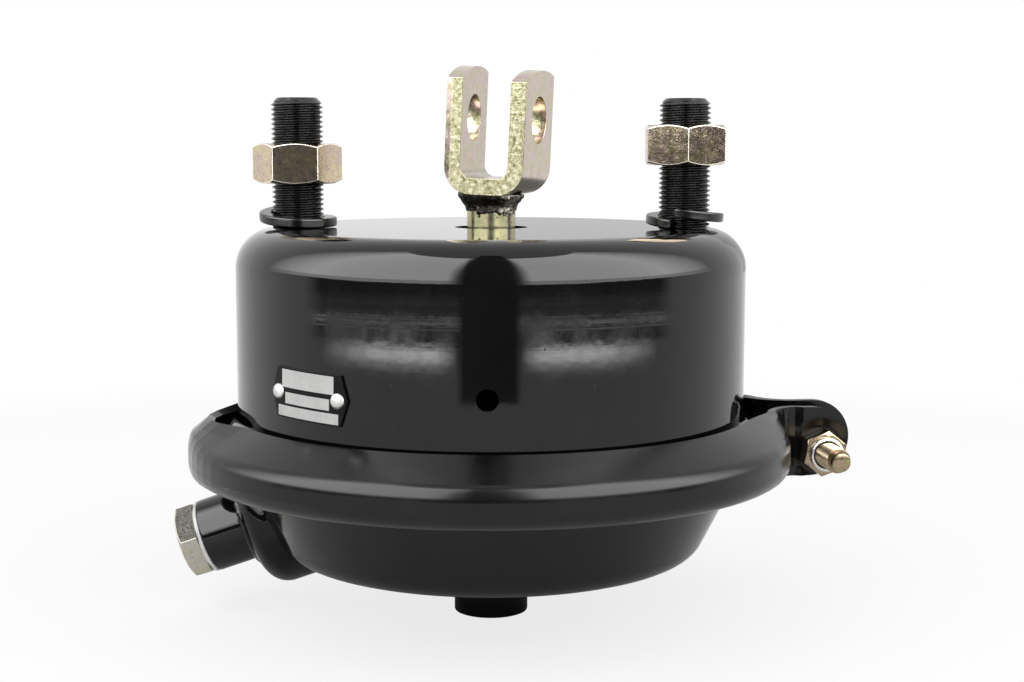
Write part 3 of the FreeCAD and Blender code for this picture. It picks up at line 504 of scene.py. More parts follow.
class Recipe:
    """A material's node tree, built up step by step on its Principled shader."""

    def __init__(self, name: str) -> None:
        """Starts a material with its shader and object coordinates.

        Args:
            name: Name of the material.
        """
        self.material = bpy.data.materials.new(name)
        self.material.use_nodes = True
        self.tree = self.material.node_tree
        self.shader = self.tree.nodes["Principled BSDF"]
        self.place = self.add("ShaderNodeTexCoord").outputs["Object"]

    def add(self, kind: str, **settings: object) -> bpy.types.Node:
        """Adds a node and sets its own properties.

        Args:
            kind: The node's type.
            **settings: Values of its properties.

        Returns:
            The node.
        """
        node = self.tree.nodes.new(kind)
        for key, value in settings.items():
            setattr(node, key, value)
        return node

    def link(self, source: bpy.types.NodeSocket, target: bpy.types.NodeSocket) -> None:
        """Links one socket to another."""
        self.tree.links.new(source, target)

    def set(self, **values: object) -> None:
        """Sets constant values on the shader's own sockets.

        Args:
            **values: Value of each socket, by its name with underscores for spaces.
        """
        for key, value in values.items():
            socket = self.shader.inputs[key.replace("_", " ")]
            socket.default_value = (*value, 1.0) if isinstance(value, tuple) and len(value) == 3 else value

    def noise(self, size: float, detail: float = 3.0, rough: float = 0.55, stretch: Colour = (1, 1, 1),
              place: bpy.types.NodeSocket | None = None) -> bpy.types.NodeSocket:
        """A noise pattern.

        Args:
            size: Size of its grains in millimetres.
            detail: Number of finer layers.
            rough: Weight of the finer layers.
            stretch: How much finer it is along each axis.
            place: Coordinates, if not the object's own.

        Returns:
            The socket with values from 0 to 1.
        """
        mapping = self.add("ShaderNodeMapping")
        mapping.inputs["Scale"].default_value = stretch
        self.link(place or self.place, mapping.inputs["Vector"])
        node = self.add("ShaderNodeTexNoise")
        node.inputs["Scale"].default_value = 1.0 / (size * MM)
        node.inputs["Detail"].default_value = detail
        node.inputs["Roughness"].default_value = rough
        self.link(mapping.outputs["Vector"], node.inputs["Vector"])
        return node.outputs[0]

    def spots(self, size: float, spread: float = 1.0) -> bpy.types.NodeSocket:
        """A pattern of scattered points.

        Args:
            size: Size of the cells that hold one point each, in millimetres.
            spread: How far the points stray from a grid, from 0 to 1.

        Returns:
            The socket with the distance to the nearest point.
        """
        node = self.add("ShaderNodeTexVoronoi")
        node.inputs["Scale"].default_value = 1.0 / (size * MM)
        node.inputs["Randomness"].default_value = spread
        self.link(self.place, node.inputs["Vector"])
        return node.outputs["Distance"]

    def remap(self, value: bpy.types.NodeSocket, low: float, high: float, to_low: float,
              to_high: float) -> bpy.types.NodeSocket:
        """Maps a value from one range to another and clamps it.

        Args:
            value: The value.
            low: Start of its range.
            high: End of its range.
            to_low: Result at the start.
            to_high: Result at the end.

        Returns:
            The socket with the result.
        """
        node = self.add("ShaderNodeMapRange")
        for key, number in (("From Min", low), ("From Max", high), ("To Min", to_low), ("To Max", to_high)):
            node.inputs[key].default_value = number
        self.link(value, node.inputs["Value"])
        return node.outputs["Result"]

    def ramp(self, value: bpy.types.NodeSocket, stops: Sequence[Stop],
             blend: str = "LINEAR") -> bpy.types.NodeSocket:
        """Colours a value by stops.

        Args:
            value: The value, from 0 to 1.
            stops: Position and colour of each stop.
            blend: How the ramp runs between stops.

        Returns:
            The socket with the colour.
        """
        node = self.add("ShaderNodeValToRGB")
        band = node.color_ramp
        band.interpolation = blend
        while len(band.elements) < len(stops):
            band.elements.new(0.5)
        for element, (position, colour) in zip(band.elements, stops):
            element.position = position
            element.color = (*colour, 1.0)
        self.link(value, node.inputs["Fac"])
        return node.outputs["Color"]

    def blend(self, share: bpy.types.NodeSocket | float, first: bpy.types.NodeSocket | Colour,
              second: bpy.types.NodeSocket | Colour) -> bpy.types.NodeSocket:
        """Mixes two colours.

        Args:
            share: Share of the second colour, from 0 to 1.
            first: The first colour.
            second: The second colour.

        Returns:
            The socket with the mixed colour.
        """
        node = self.add("ShaderNodeMix", data_type="RGBA")
        for index, value in ((0, share), (6, first), (7, second)):
            if isinstance(value, bpy.types.NodeSocket):
                self.link(value, node.inputs[index])
            elif isinstance(value, tuple):
                node.inputs[index].default_value = (*value, 1.0)
            else:
                node.inputs[index].default_value = value
        return node.outputs[2]

    def maths(self, operation: str, *values: bpy.types.NodeSocket | float) -> bpy.types.NodeSocket:
        """Does a sum on sockets or numbers.

        Args:
            operation: Name of the sum.
            *values: What goes into it.

        Returns:
            The socket with the result.
        """
        node = self.add("ShaderNodeMath", operation=operation)
        for index, value in enumerate(values):
            if isinstance(value, bpy.types.NodeSocket):
                self.link(value, node.inputs[index])
            else:
                node.inputs[index].default_value = value
        return node.outputs[0]

    def axis(self, name: str, place: bpy.types.NodeSocket | None = None) -> bpy.types.NodeSocket:
        """One coordinate of a vector.

        Args:
            name: X, Y or Z.
            place: The vector, if not the object's own coordinates.

        Returns:
            The socket with the coordinate in metres.
        """
        node = self.add("ShaderNodeSeparateXYZ")
        self.link(place or self.place, node.inputs[0])
        return node.outputs[name]

    def along(self, direction: Vector, origin: Vector) -> bpy.types.NodeSocket:
        """Distance along a direction.

        Args:
            direction: The direction.
            origin: Where the distance is nought, in millimetres.

        Returns:
            The socket with the distance in metres.
        """
        shifted = self.add("ShaderNodeVectorMath", operation="SUBTRACT")
        shifted.inputs[1].default_value = origin * MM
        self.link(self.place, shifted.inputs[0])
        node = self.add("ShaderNodeVectorMath", operation="DOT_PRODUCT")
        node.inputs[1].default_value = direction.normalized()
        self.link(shifted.outputs[0], node.inputs[0])
        return node.outputs["Value"]

    def facing(self, direction: Vector) -> bpy.types.NodeSocket:
        """How squarely the surface faces a direction of the object.

        Args:
            direction: The direction.

        Returns:
            The socket with values from -1 to 1.
        """
        node = self.add("ShaderNodeVectorMath", operation="DOT_PRODUCT")
        node.inputs[1].default_value = direction.normalized()
        geometry = self.add("ShaderNodeNewGeometry")
        turn = self.add("ShaderNodeVectorTransform", vector_type="NORMAL", convert_from="WORLD",
                        convert_to="OBJECT")
        self.link(geometry.outputs["True Normal"], turn.inputs[0])
        self.link(turn.outputs[0], node.inputs[0])
        return node.outputs["Value"]

    def bump(self, height: bpy.types.NodeSocket, depth: float, under: bpy.types.NodeSocket | None = None,
             strength: float = 1.0) -> bpy.types.NodeSocket:
        """A relief in the surface.

        Args:
            height: Its height, from 0 to 1.
            depth: Its full height in millimetres.
            under: Another relief that lies below it.
            strength: How much of it is used.

        Returns:
            The socket with the bent normal.
        """
        node = self.add("ShaderNodeBump")
        node.inputs["Strength"].default_value = strength
        node.inputs["Distance"].default_value = depth * MM
        self.link(height, node.inputs["Height"])
        if under is not None:
            self.link(under, node.inputs["Normal"])
        return node.outputs["Normal"]

    def cover(self, share: bpy.types.NodeSocket, under: bpy.types.NodeSocket,
              over: bpy.types.NodeSocket) -> None:
        """Covers one shader with a share of another, and shows the result.

        Args:
            share: Share of the covering shader, from 0 to 1.
            under: The shader below.
            over: The covering shader.
        """
        mix = self.add("ShaderNodeMixShader")
        for socket, target in zip((share, under, over), mix.inputs):
            self.link(socket, target)
        self.link(mix.outputs[0], self.tree.nodes["Material Output"].inputs["Surface"])

    def finish(self, colour: bpy.types.NodeSocket, roughness: bpy.types.NodeSocket,
               normal: bpy.types.NodeSocket) -> bpy.types.Material:
        """Links what was built to the shader.

        Args:
            colour: The base colour.
            roughness: The roughness.
            normal: The bent normal.

        Returns:
            The finished material.
        """
        for socket, name in ((colour, "Base Color"), (roughness, "Roughness"), (normal, "Normal")):
            self.link(socket, self.shader.inputs[name])
        return self.material


@dataclass(frozen=True)
class GlossPaint:
    """Sprayed black gloss paint with orange peel, thin spots and dust nibs."""

    name: str
    dark: Colour = (0.002, 0.002, 0.0022)
    light: Colour = (0.0045, 0.0045, 0.0048)
    sheen: tuple[float, float] = (0.03, 0.08)
    peel_size: float = 2.6
    peel_height: float = 0.004
    nib_spacing: float = 4.5
    nib_height: float = 0.016
    shine: float = 0.375

    def skin(self, recipe: Recipe, under: bpy.types.NodeSocket | None = None) -> bpy.types.NodeSocket:
        """Orange peel with dust nibs on it.

        Args:
            recipe: The material being mixed.
            under: Another relief below it.

        Returns:
            The socket with the bent normal.
        """
        peel = recipe.bump(recipe.noise(self.peel_size, 1.5, 0.4), self.peel_height, under)
        nibs = recipe.remap(recipe.spots(self.nib_spacing), 0.0, 0.07, 1.0, 0.0)
        return recipe.bump(nibs, self.nib_height, peel)

    def relief(self, recipe: Recipe) -> bpy.types.NodeSocket:
        """The paint's own skin alone."""
        return self.skin(recipe)

    def make(self) -> bpy.types.Material:
        """Mixes the paint.

        Returns:
            The finished material.
        """
        recipe = Recipe(self.name)
        recipe.set(IOR=1.5, Specular_IOR_Level=self.shine)
        clouds = recipe.noise(14.0, 4.0, 0.6)
        colour = recipe.ramp(clouds, [(0.3, self.dark), (0.72, self.light)])
        smears = recipe.noise(7.0, 5.0, 0.65, (1.0, 1.0, 0.35))
        roughness = recipe.remap(smears, 0.35, 0.75, *self.sheen)
        return recipe.finish(colour, roughness, self.relief(recipe))


@dataclass(frozen=True)
class DrawnPaint(GlossPaint):
    """The same paint over a deep-drawn wall, whose drawing rings stand out a little."""

    top: float = 0.0
    bottom: float = -57.0
    ring_height: float = 0.14
    line_height: float = 0.0012
    rings: tuple[Point, ...] = ((0.0, 0.0), (0.30, 0.0), (0.345, 0.10), (0.36, 0.08), (0.40, 0.17),
                                (0.415, 0.15), (0.475, 0.32), (0.535, 0.52), (0.595, 0.71), (0.655, 0.87),
                                (0.715, 0.94), (0.775, 0.85), (0.835, 0.68), (0.895, 0.50), (0.955, 0.39),
                                (1.0, 0.35))

    def relief(self, recipe: Recipe) -> bpy.types.NodeSocket:
        """Drawing rings and fine turned lines under the orange peel.

        Args:
            recipe: The material being mixed.

        Returns:
            The socket with the bent normal.
        """
        level = recipe.remap(recipe.axis("Z"), self.top * MM, self.bottom * MM, 0.0, 1.0)
        rings = recipe.ramp(level, [(at, (value, value, value)) for at, value in self.rings], "B_SPLINE")
        drawn = recipe.bump(rings, self.ring_height)
        lines = recipe.noise(1.1, 2.0, 0.5, (0.015, 0.015, 1.0))
        return self.skin(recipe, recipe.bump(lines, self.line_height, drawn))


@dataclass(frozen=True)
class SatinOxide:
    """Satin black finish of studs and washers, mottled lighter in a fine grain."""

    name: str
    dark: Colour = (0.002, 0.002, 0.0022)
    light: Colour = (0.007, 0.007, 0.0075)
    sheen: tuple[float, float] = (0.16, 0.28)
    grain_height: float = 0.004

    def make(self) -> bpy.types.Material:
        """Mixes the finish.

        Returns:
            The finished material.
        """
        recipe = Recipe(self.name)
        recipe.set(IOR=1.5, Specular_IOR_Level=0.5)
        grain = recipe.noise(1.2, 5.0, 0.7)
        colour = recipe.ramp(grain, [(0.35, self.dark), (0.7, self.light)])
        roughness = recipe.remap(recipe.noise(2.4, 4.0, 0.6), 0.3, 0.7, *self.sheen)
        normal = recipe.bump(recipe.noise(0.5, 3.0, 0.6), self.grain_height)
        return recipe.finish(colour, roughness, normal)


@dataclass(frozen=True)
class ZincPlate:
    """Zinc plating whose tint drifts, stained here and there, over fine marks of the steel below."""

    name: str
    tints: tuple[Colour, ...]
    stain: Colour = (0.13, 0.11, 0.085)
    stained: float = 0.6
    sheen: tuple[float, float] = (0.10, 0.24)
    tint_size: float = 6.0
    tint_stretch: Colour = (1.0, 1.0, 1.0)
    grain: float = 0.5
    grain_height: float = 0.006
    stretch: Colour = (1.0, 1.0, 1.0)

    def gloss(self, recipe: Recipe) -> bpy.types.NodeSocket:
        """The roughness, uneven in patches."""
        return recipe.remap(recipe.noise(2.4, 5.0, 0.65), 0.3, 0.7, *self.sheen)

    def marks(self, recipe: Recipe) -> bpy.types.NodeSocket:
        """Fine grain over soft waves."""
        waves = recipe.bump(recipe.noise(4.0, 2.0, 0.5), 0.008)
        return recipe.bump(recipe.noise(self.grain, 5.0, 0.65, self.stretch), self.grain_height, waves)

    def colours(self, recipe: Recipe) -> bpy.types.NodeSocket:
        """The drifting tints with their stains.

        Args:
            recipe: The material being mixed.

        Returns:
            The socket with the colour.
        """
        drift = recipe.noise(self.tint_size, 3.0, 0.55, self.tint_stretch)
        last = len(self.tints) - 1
        stops = [(0.3 + 0.4 * index / last, tint) for index, tint in enumerate(self.tints)]
        stains = recipe.remap(recipe.noise(1.1, 7.0, 0.76), 0.5, 0.66, 0.0, self.stained)
        return recipe.blend(stains, recipe.ramp(drift, stops), self.stain)

    def make(self) -> bpy.types.Material:
        """Mixes the plating.

        Returns:
            The finished material.
        """
        recipe = Recipe(self.name)
        recipe.set(Metallic=1.0)
        return recipe.finish(self.colours(recipe), self.gloss(recipe), self.marks(recipe))


@dataclass(frozen=True)
class ShearedZinc(ZincPlate):
    """Zinc on bent strip, whose cut edges are smooth along their outer part and torn along the rest."""

    turn: float = -15.0
    lean: float = 2.5
    offset: float = 1.8
    foot: float = 10.3
    torn_reach: float = 11.5
    torn_edge: float = 0.25
    torn_colours: tuple[Stop, ...] = ((0.36, (0.09, 0.085, 0.04)), (0.5, (0.27, 0.26, 0.155)),
                                      (0.64, (0.50, 0.48, 0.37)))
    torn_dullness: float = 0.16
    torn_height: float = 0.09

    def make(self) -> bpy.types.Material:
        """Mixes the plating.

        Returns:
            The finished material.
        """
        recipe = Recipe(self.name)
        recipe.set(Metallic=1.0)
        frame_turn = (spun(self.turn) @ Matrix.Rotation(math.radians(self.lean), 4, "Y")).to_3x3()
        across = recipe.along(frame_turn @ Vector((1, 0, 0)), Vector((self.offset, 0, self.foot)))
        edge = recipe.maths("ABSOLUTE", recipe.facing(frame_turn @ Vector((0, 1, 0))))
        sheared = recipe.remap(edge, 0.9, 0.97, 0.0, 1.0)
        first, last = (self.torn_reach - self.torn_edge) * MM, (self.torn_reach + self.torn_edge) * MM
        inner = recipe.remap(recipe.maths("ABSOLUTE", across), first, last, 1.0, 0.0)
        torn = recipe.maths("MULTIPLY", sheared, inner)
        speckle = recipe.ramp(recipe.noise(1.3, 6.0, 0.75), self.torn_colours)
        colour = recipe.blend(torn, self.colours(recipe), speckle)
        dullness = recipe.maths("MULTIPLY", torn, self.torn_dullness)
        roughness = recipe.maths("ADD", self.gloss(recipe), dullness)
        tears = recipe.maths("MULTIPLY", recipe.noise(0.8, 6.0, 0.7, (0.6, 0.6, 1.4)), torn)
        return recipe.finish(colour, roughness, recipe.bump(tears, self.torn_height, self.marks(recipe)))


@dataclass(frozen=True)
class SandedZinc(ZincPlate):
    """Zinc over a bar whose flat on one side was left rough."""

    rough_side: Place = (-0.22, -0.74, 0.63)
    pit_colours: tuple[Stop, ...] = ((0.38, (0.018, 0.017, 0.015)), (0.6, (0.07, 0.068, 0.06)))
    pit_dullness: float = 0.15
    pit_depth: float = 0.1

    def make(self) -> bpy.types.Material:
        """Mixes the plating.

        Returns:
            The finished material.
        """
        recipe = Recipe(self.name)
        recipe.set(Metallic=1.0)
        side = recipe.remap(recipe.facing(Vector(self.rough_side)), 0.9, 0.96, 0.0, 1.0)
        pits = recipe.noise(0.7, 6.0, 0.75)
        sanded = recipe.ramp(pits, self.pit_colours)
        roughness = recipe.maths("ADD", self.gloss(recipe), recipe.maths("MULTIPLY", side, self.pit_dullness))
        fine = recipe.bump(recipe.noise(self.grain, 5.0, 0.65), self.grain_height)
        normal = recipe.bump(recipe.maths("MULTIPLY", pits, side), self.pit_depth, fine)
        return recipe.finish(recipe.blend(side, self.colours(recipe), sanded), roughness, normal)


@dataclass(frozen=True)
class BurntWeld:
    """Dark weld metal with scale, and brighter spatter on one side of its foot."""

    name: str
    bright_side: Place = (0.75, -0.66, -0.35)
    reach: tuple[float, float] = (4.6, 6.4)
    scale: tuple[Stop, ...] = ((0.42, (0.012, 0.011, 0.010)), (0.56, (0.035, 0.031, 0.026)),
                               (0.70, (0.12, 0.105, 0.085)))
    metal: tuple[Stop, ...] = ((0.40, (0.10, 0.09, 0.07)), (0.6, (0.55, 0.52, 0.44)))
    relief: float = 0.12

    def make(self) -> bpy.types.Material:
        """Mixes the weld's surface.

        Returns:
            The finished material.
        """
        recipe = Recipe(self.name)
        recipe.set(Metallic=0.8)
        patches = recipe.noise(1.6, 6.0, 0.75)
        near, far = self.reach
        side = recipe.remap(recipe.along(Vector(self.bright_side), Vector()), near * MM, far * MM, 0.0, 1.0)
        roughness = recipe.remap(recipe.noise(0.8, 4.0, 0.6), 0.3, 0.7, 0.28, 0.55)
        normal = recipe.bump(recipe.noise(0.6, 5.0, 0.7), self.relief)
        colour = recipe.blend(side, recipe.ramp(patches, self.scale), recipe.ramp(patches, self.metal))
        return recipe.finish(colour, roughness, normal)


@dataclass(frozen=True)
class PlainFinish:
    """A dull or soft finish that needs only grain and slight mottling."""

    name: str
    dark: Colour
    light: Colour
    sheen: tuple[float, float]
    grain: float = 0.4
    grain_height: float = 0.02
    metal: float = 0.0
    shine: float = 0.4

    def make(self) -> bpy.types.Material:
        """Mixes the finish.

        Returns:
            The finished material.
        """
        recipe = Recipe(self.name)
        recipe.set(Metallic=self.metal, Specular_IOR_Level=self.shine)
        colour = recipe.ramp(recipe.noise(5.0, 5.0, 0.65), [(0.34, self.dark), (0.68, self.light)])
        roughness = recipe.remap(recipe.noise(2.0, 4.0, 0.6), 0.3, 0.7, *self.sheen)
        normal = recipe.bump(recipe.noise(self.grain, 3.0, 0.6), self.grain_height)
        return recipe.finish(colour, roughness, normal)


Finish = GlossPaint | SatinOxide | ZincPlate | BurntWeld | PlainFinish


@dataclass
class PaintShop:
    """All finishes of the chamber, each made once."""

    housing: GlossPaint = DrawnPaint("housing_paint")
    bowl: GlossPaint = GlossPaint("bowl_paint", peel_size=3.4, shine=0.24)
    band: GlossPaint = GlossPaint(
        "band_paint", peel_size=2.2, peel_height=0.006, sheen=(0.17, 0.27), shine=0.29)
    boss: GlossPaint = GlossPaint("boss_paint", peel_size=1.6)
    weld: GlossPaint = GlossPaint("weld_paint", peel_size=1.2, peel_height=0.03, sheen=(0.08, 0.18))
    stud: SatinOxide = SatinOxide("stud_black")
    washer: SatinOxide = SatinOxide("washer_black", light=(0.006, 0.006, 0.0065), sheen=(0.14, 0.24))
    yellow: ZincPlate = ZincPlate(
        "yellow_zinc", ((0.66, 0.49, 0.42), (0.68, 0.59, 0.36), (0.60, 0.46, 0.39), (0.64, 0.57, 0.38)),
        sheen=(0.06, 0.16), grain=0.7, grain_height=0.022)
    # Light zinc for the nuts' rounded edges: partly wear, partly a painted highlight.
    edge_wear_and_highlight: ZincPlate = ZincPlate(
        "edge_wear_and_highlight_zinc", ((0.84, 0.80, 0.68), (0.90, 0.86, 0.76)), stained=0.0, sheen=(0.3, 0.42))
    clevis: ZincPlate = ShearedZinc(
        "clevis_zinc", ((0.53, 0.37, 0.37), (0.55, 0.45, 0.40), (0.49, 0.45, 0.29), (0.55, 0.38, 0.40)),
        stained=0.3, sheen=(0.12, 0.26))
    rod: ZincPlate = ZincPlate(
        "rod_zinc", ((0.52, 0.40, 0.36), (0.50, 0.48, 0.26), (0.46, 0.46, 0.30), (0.50, 0.38, 0.34)),
        stained=0.3, sheen=(0.16, 0.28), tint_size=4.5, tint_stretch=(1.0, 1.0, 0.1), grain=0.4,
        stretch=(1.0, 1.0, 0.1))
    bolt: ZincPlate = ZincPlate(
        "bolt_zinc", ((0.29, 0.28, 0.13), (0.33, 0.24, 0.18), (0.27, 0.29, 0.14)), stained=0.5,
        sheen=(0.14, 0.26), tint_size=3.0)
    collar: ZincPlate = ZincPlate(
        "collar_zinc", ((0.60, 0.60, 0.57), (0.70, 0.69, 0.66)), stained=0.3, sheen=(0.2, 0.34))
    plug: ZincPlate = SandedZinc(
        "plug_zinc", ((0.50, 0.50, 0.36), (0.56, 0.52, 0.46), (0.50, 0.50, 0.44)), stained=0.35,
        sheen=(0.24, 0.4), tint_size=8.0, grain=0.7)
    burnt: BurntWeld = BurntWeld("weld_dark")
    seal: PlainFinish = PlainFinish("seal_white", (0.74, 0.74, 0.71), (0.86, 0.86, 0.84), (0.42, 0.6))
    rubber: PlainFinish = PlainFinish(
        "diaphragm_rubber", (0.018, 0.018, 0.018), (0.04, 0.04, 0.04), (0.6, 0.8))
    steel: PlainFinish = PlainFinish(
        "inner_steel", (0.22, 0.22, 0.225), (0.36, 0.36, 0.37), (0.3, 0.5), metal=1.0)
    spring: PlainFinish = PlainFinish("spring_steel", (0.03, 0.03, 0.03), (0.07, 0.07, 0.07), (0.35, 0.5))
    label: PlainFinish = PlainFinish(
        "label_black", (0.002, 0.002, 0.002), (0.004, 0.004, 0.004), (0.3, 0.4), grain_height=0.003,
        shine=0.12)
    panel: PlainFinish = PlainFinish(
        "panel_silver", (0.52, 0.52, 0.51), (0.6, 0.6, 0.59), (0.36, 0.46), grain_height=0.004, shine=0.1)
    rivet: PlainFinish = PlainFinish(
        "rivet_aluminium", (0.5, 0.5, 0.49), (0.7, 0.7, 0.68), (0.26, 0.42), grain=1.1, grain_height=0.05,
        metal=1.0)
    made: dict[str, bpy.types.Material] = field(default_factory=dict)

    def get(self, finish: Finish) -> bpy.types.Material:
        """The finish's material, made the first time it is asked for.

        Args:
            finish: The finish.

        Returns:
            The material.
        """
        if finish.name not in self.made:
            self.made[finish.name] = finish.make()
        return self.made[finish.name]

    def coat(self, piece: bpy.types.Object, finish: Finish) -> None:
        """Gives every face of a piece one finish.

        Args:
            piece: The piece.
            finish: The finish.
        """
        material = self.get(finish)
        if not piece.material_slots:
            piece.data.materials.append(material)
        for spot in piece.material_slots:
            spot.material = material

    def coat_node(self, name: str, finish: Finish) -> None:
        """Gives a CAD node that stays a finer finish.

        Args:
            name: The node's name.
            finish: The finish.
        """
        self.coat(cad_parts[name], finish)
        LOG.info("finished %s", name)


def mount(piece: bpy.types.Object, body: Body, slot: str, *nodes: str) -> bpy.types.Object:
    """Hands a finished piece to the frame.

    Args:
        piece: The finished piece, in place.
        body: The body it rides on.
        slot: The record's material slot; not used.
        *nodes: The CAD nodes that it stands for.

    Returns:
        The piece.
    """
    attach(piece, body.value)
    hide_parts(*nodes)
    LOG.info("built %s: %d faces", piece.name, len(piece.data.polygons))
    return piece


@dataclass
class MountingStuds:
    """The two studs, with their split washers and nuts."""

    x: float = 60.35
    diameter: float = 16.0
    pitch: float = 1.5
    stand: float = 40.0
    tip: float = 1.9
    thread_start: float = -2.4
    seat: float = -6.8
    head: float = 21.0
    head_height: float = 5.0
    head_edge: float = 0.8
    nut_flats: float = 24.0
    nut_height: float = 12.3
    nut_feet: tuple[float, float] = (13.6, 19.5)
    nut_turns: tuple[float, float] = (3.5, 28.5)
    nut_bodies: tuple[Body, Body] = (Body.LEFT_NUT, Body.RIGHT_NUT)
    bore_gap: float = 0.05
    countersink: float = 0.9
    # Width of the rounded edges that carry the painted highlight, partly wear.
    wear_and_highlight_edge: float = 0.38
    washer_bore: float = 16.6
    washer_width: float = 3.75
    washer_height: float = 2.9
    washer_rise: float = 3.6
    washer_wrap: float = 354.0
    washer_edge: float = 0.6
    washer_gap: float = 0.05
    splits: tuple[float, float] = (95.0, -115.0)
    leans: tuple[Point, Point] = ((-90.0, 5.0), (-20.0, 3.8))

    def stud(self) -> bpy.types.Object:
        """A threaded stud with a chamfered tip and its head below the face.

        Returns:
            The stud, upright on the Z axis.
        """
        half, out = self.diameter / 2, self.diameter / 2 + 1
        thread = threaded_rod("stud", self.diameter, self.pitch, self.thread_start, self.stand)
        tip = [(0, -5), (out, -5), (out, self.stand - self.tip - 1), (half - self.tip, self.stand),
               (0, self.stand)]
        carve(thread, lathe("stud_tip", tip), "INTERSECT")
        wide, edge = self.head / 2, self.head_edge
        foot, top = self.seat - self.head_height, self.thread_start + 0.2
        shank = lathe("stud_head", [(0, foot), (wide - edge, foot), (wide, foot + edge), (wide, self.seat),
                                    (half, self.seat), (half, top), (0, top)])
        piece = join([thread, shank], "stud")
        smooth(piece, 40)
        return piece

    def nut(self, shop: PaintShop) -> bpy.types.Object:
        """A hexagon nut with turned corners, countersunk bore and lighter rounded edges: partly wear, partly
        a painted highlight.

        Args:
            shop: Where its finishes come from.

        Returns:
            The nut, upright on the Z axis.
        """
        piece = hexagon("nut", self.nut_flats, 0, self.nut_height, True, True)
        bore, sink, high = self.diameter / 2 + self.bore_gap, self.countersink, self.nut_height
        mouth = bore + sink + 1
        tool = lathe("nut_bore", [(0, -1), (mouth, -1), (bore, sink), (bore, high - sink), (mouth, high + 1),
                                  (0, high + 1)])
        carve(piece, tool, "DIFFERENCE")
        shop.coat(piece, shop.yellow)
        # The rounded edges get the light zinc: partly wear, partly a painted highlight.
        piece.data.materials.append(shop.get(shop.edge_wear_and_highlight))
        soften(piece, self.wear_and_highlight_edge, 3, slot=1)
        smooth(piece)
        return piece

    def washer(self) -> bpy.types.Object:
        """A split washer: one left-handed turn of square wire that climbs from its low end.

        Returns:
            The washer, upright on the Z axis.
        """
        bore, high = self.washer_bore / 2, self.washer_height
        rim = bore + self.washer_width
        square = [(bore, 0.0, 0.0), (rim, 0.0, 0.0), (rim, 0.0, high), (bore, 0.0, high), (bore, 0.0, 0.0)]
        piece = draw_line("washer", square)
        bpy.ops.mesh.select_all(action="SELECT")
        bpy.ops.mesh.remove_doubles(threshold=DOUBLED)
        leave_edit()
        apply_modifier(piece, "SCREW", axis="Z", angle=math.radians(-self.washer_wrap),
                       screw_offset=self.washer_rise * MM, iterations=1, steps=64, render_steps=64,
                       use_merge_vertices=False)
        edit(piece, everything=False)
        bpy.ops.mesh.select_non_manifold()
        bpy.ops.mesh.edge_face_add()
        leave_edit()
        heal(piece)
        soften(piece, self.washer_edge, 4)
        smooth(piece)
        return piece

    def build(self, shop: PaintShop) -> None:
        """Builds each piece once and sets its copies on both sides.

        Args:
            shop: Where the finishes come from.
        """
        stud, nut, washer = self.stud(), self.nut(shop), self.washer()
        shop.coat(stud, shop.stud)
        shop.coat(washer, shop.washer)
        for index, side in enumerate(Side):
            word = side.name.lower()
            place = shift(side.value * self.x, 0, 0)
            upright = copy_of(stud, "threaded_stud_" + word)
            set_down(upright, place)
            mount(upright, Body.HOUSING, "stud_black", "mounting_stud_" + word)
            turned = copy_of(nut, "plated_nut_" + word)
            set_down(turned, place @ shift(0, 0, self.nut_feet[index]) @ spun(self.nut_turns[index]))
            mount(turned, self.nut_bodies[index], "yellow_zinc", "stud_nut_" + word)
            tilted = copy_of(washer, "split_washer_" + word)
            middle_of_split = (self.washer_wrap - 360) / 2
            set_down(tilted, leaning(*self.leans[index]) @ spun(self.splits[index] + middle_of_split))
            lowest = min(vertex.co.z for vertex in tilted.data.vertices) / MM
            set_down(tilted, place @ shift(0, 0, self.washer_gap - lowest))
            mount(tilted, Body.HOUSING, "washer_black", "lock_washer_" + word)
        for model in (stud, nut, washer):
            bpy.data.objects.remove(model)


@dataclass(frozen=True)
class DropScatter:
    """A scatter of weld drops, each value drawn from its own range."""

    count: int
    stand: Point
    azimuths: Point
    heights: Point
    sizes: Point


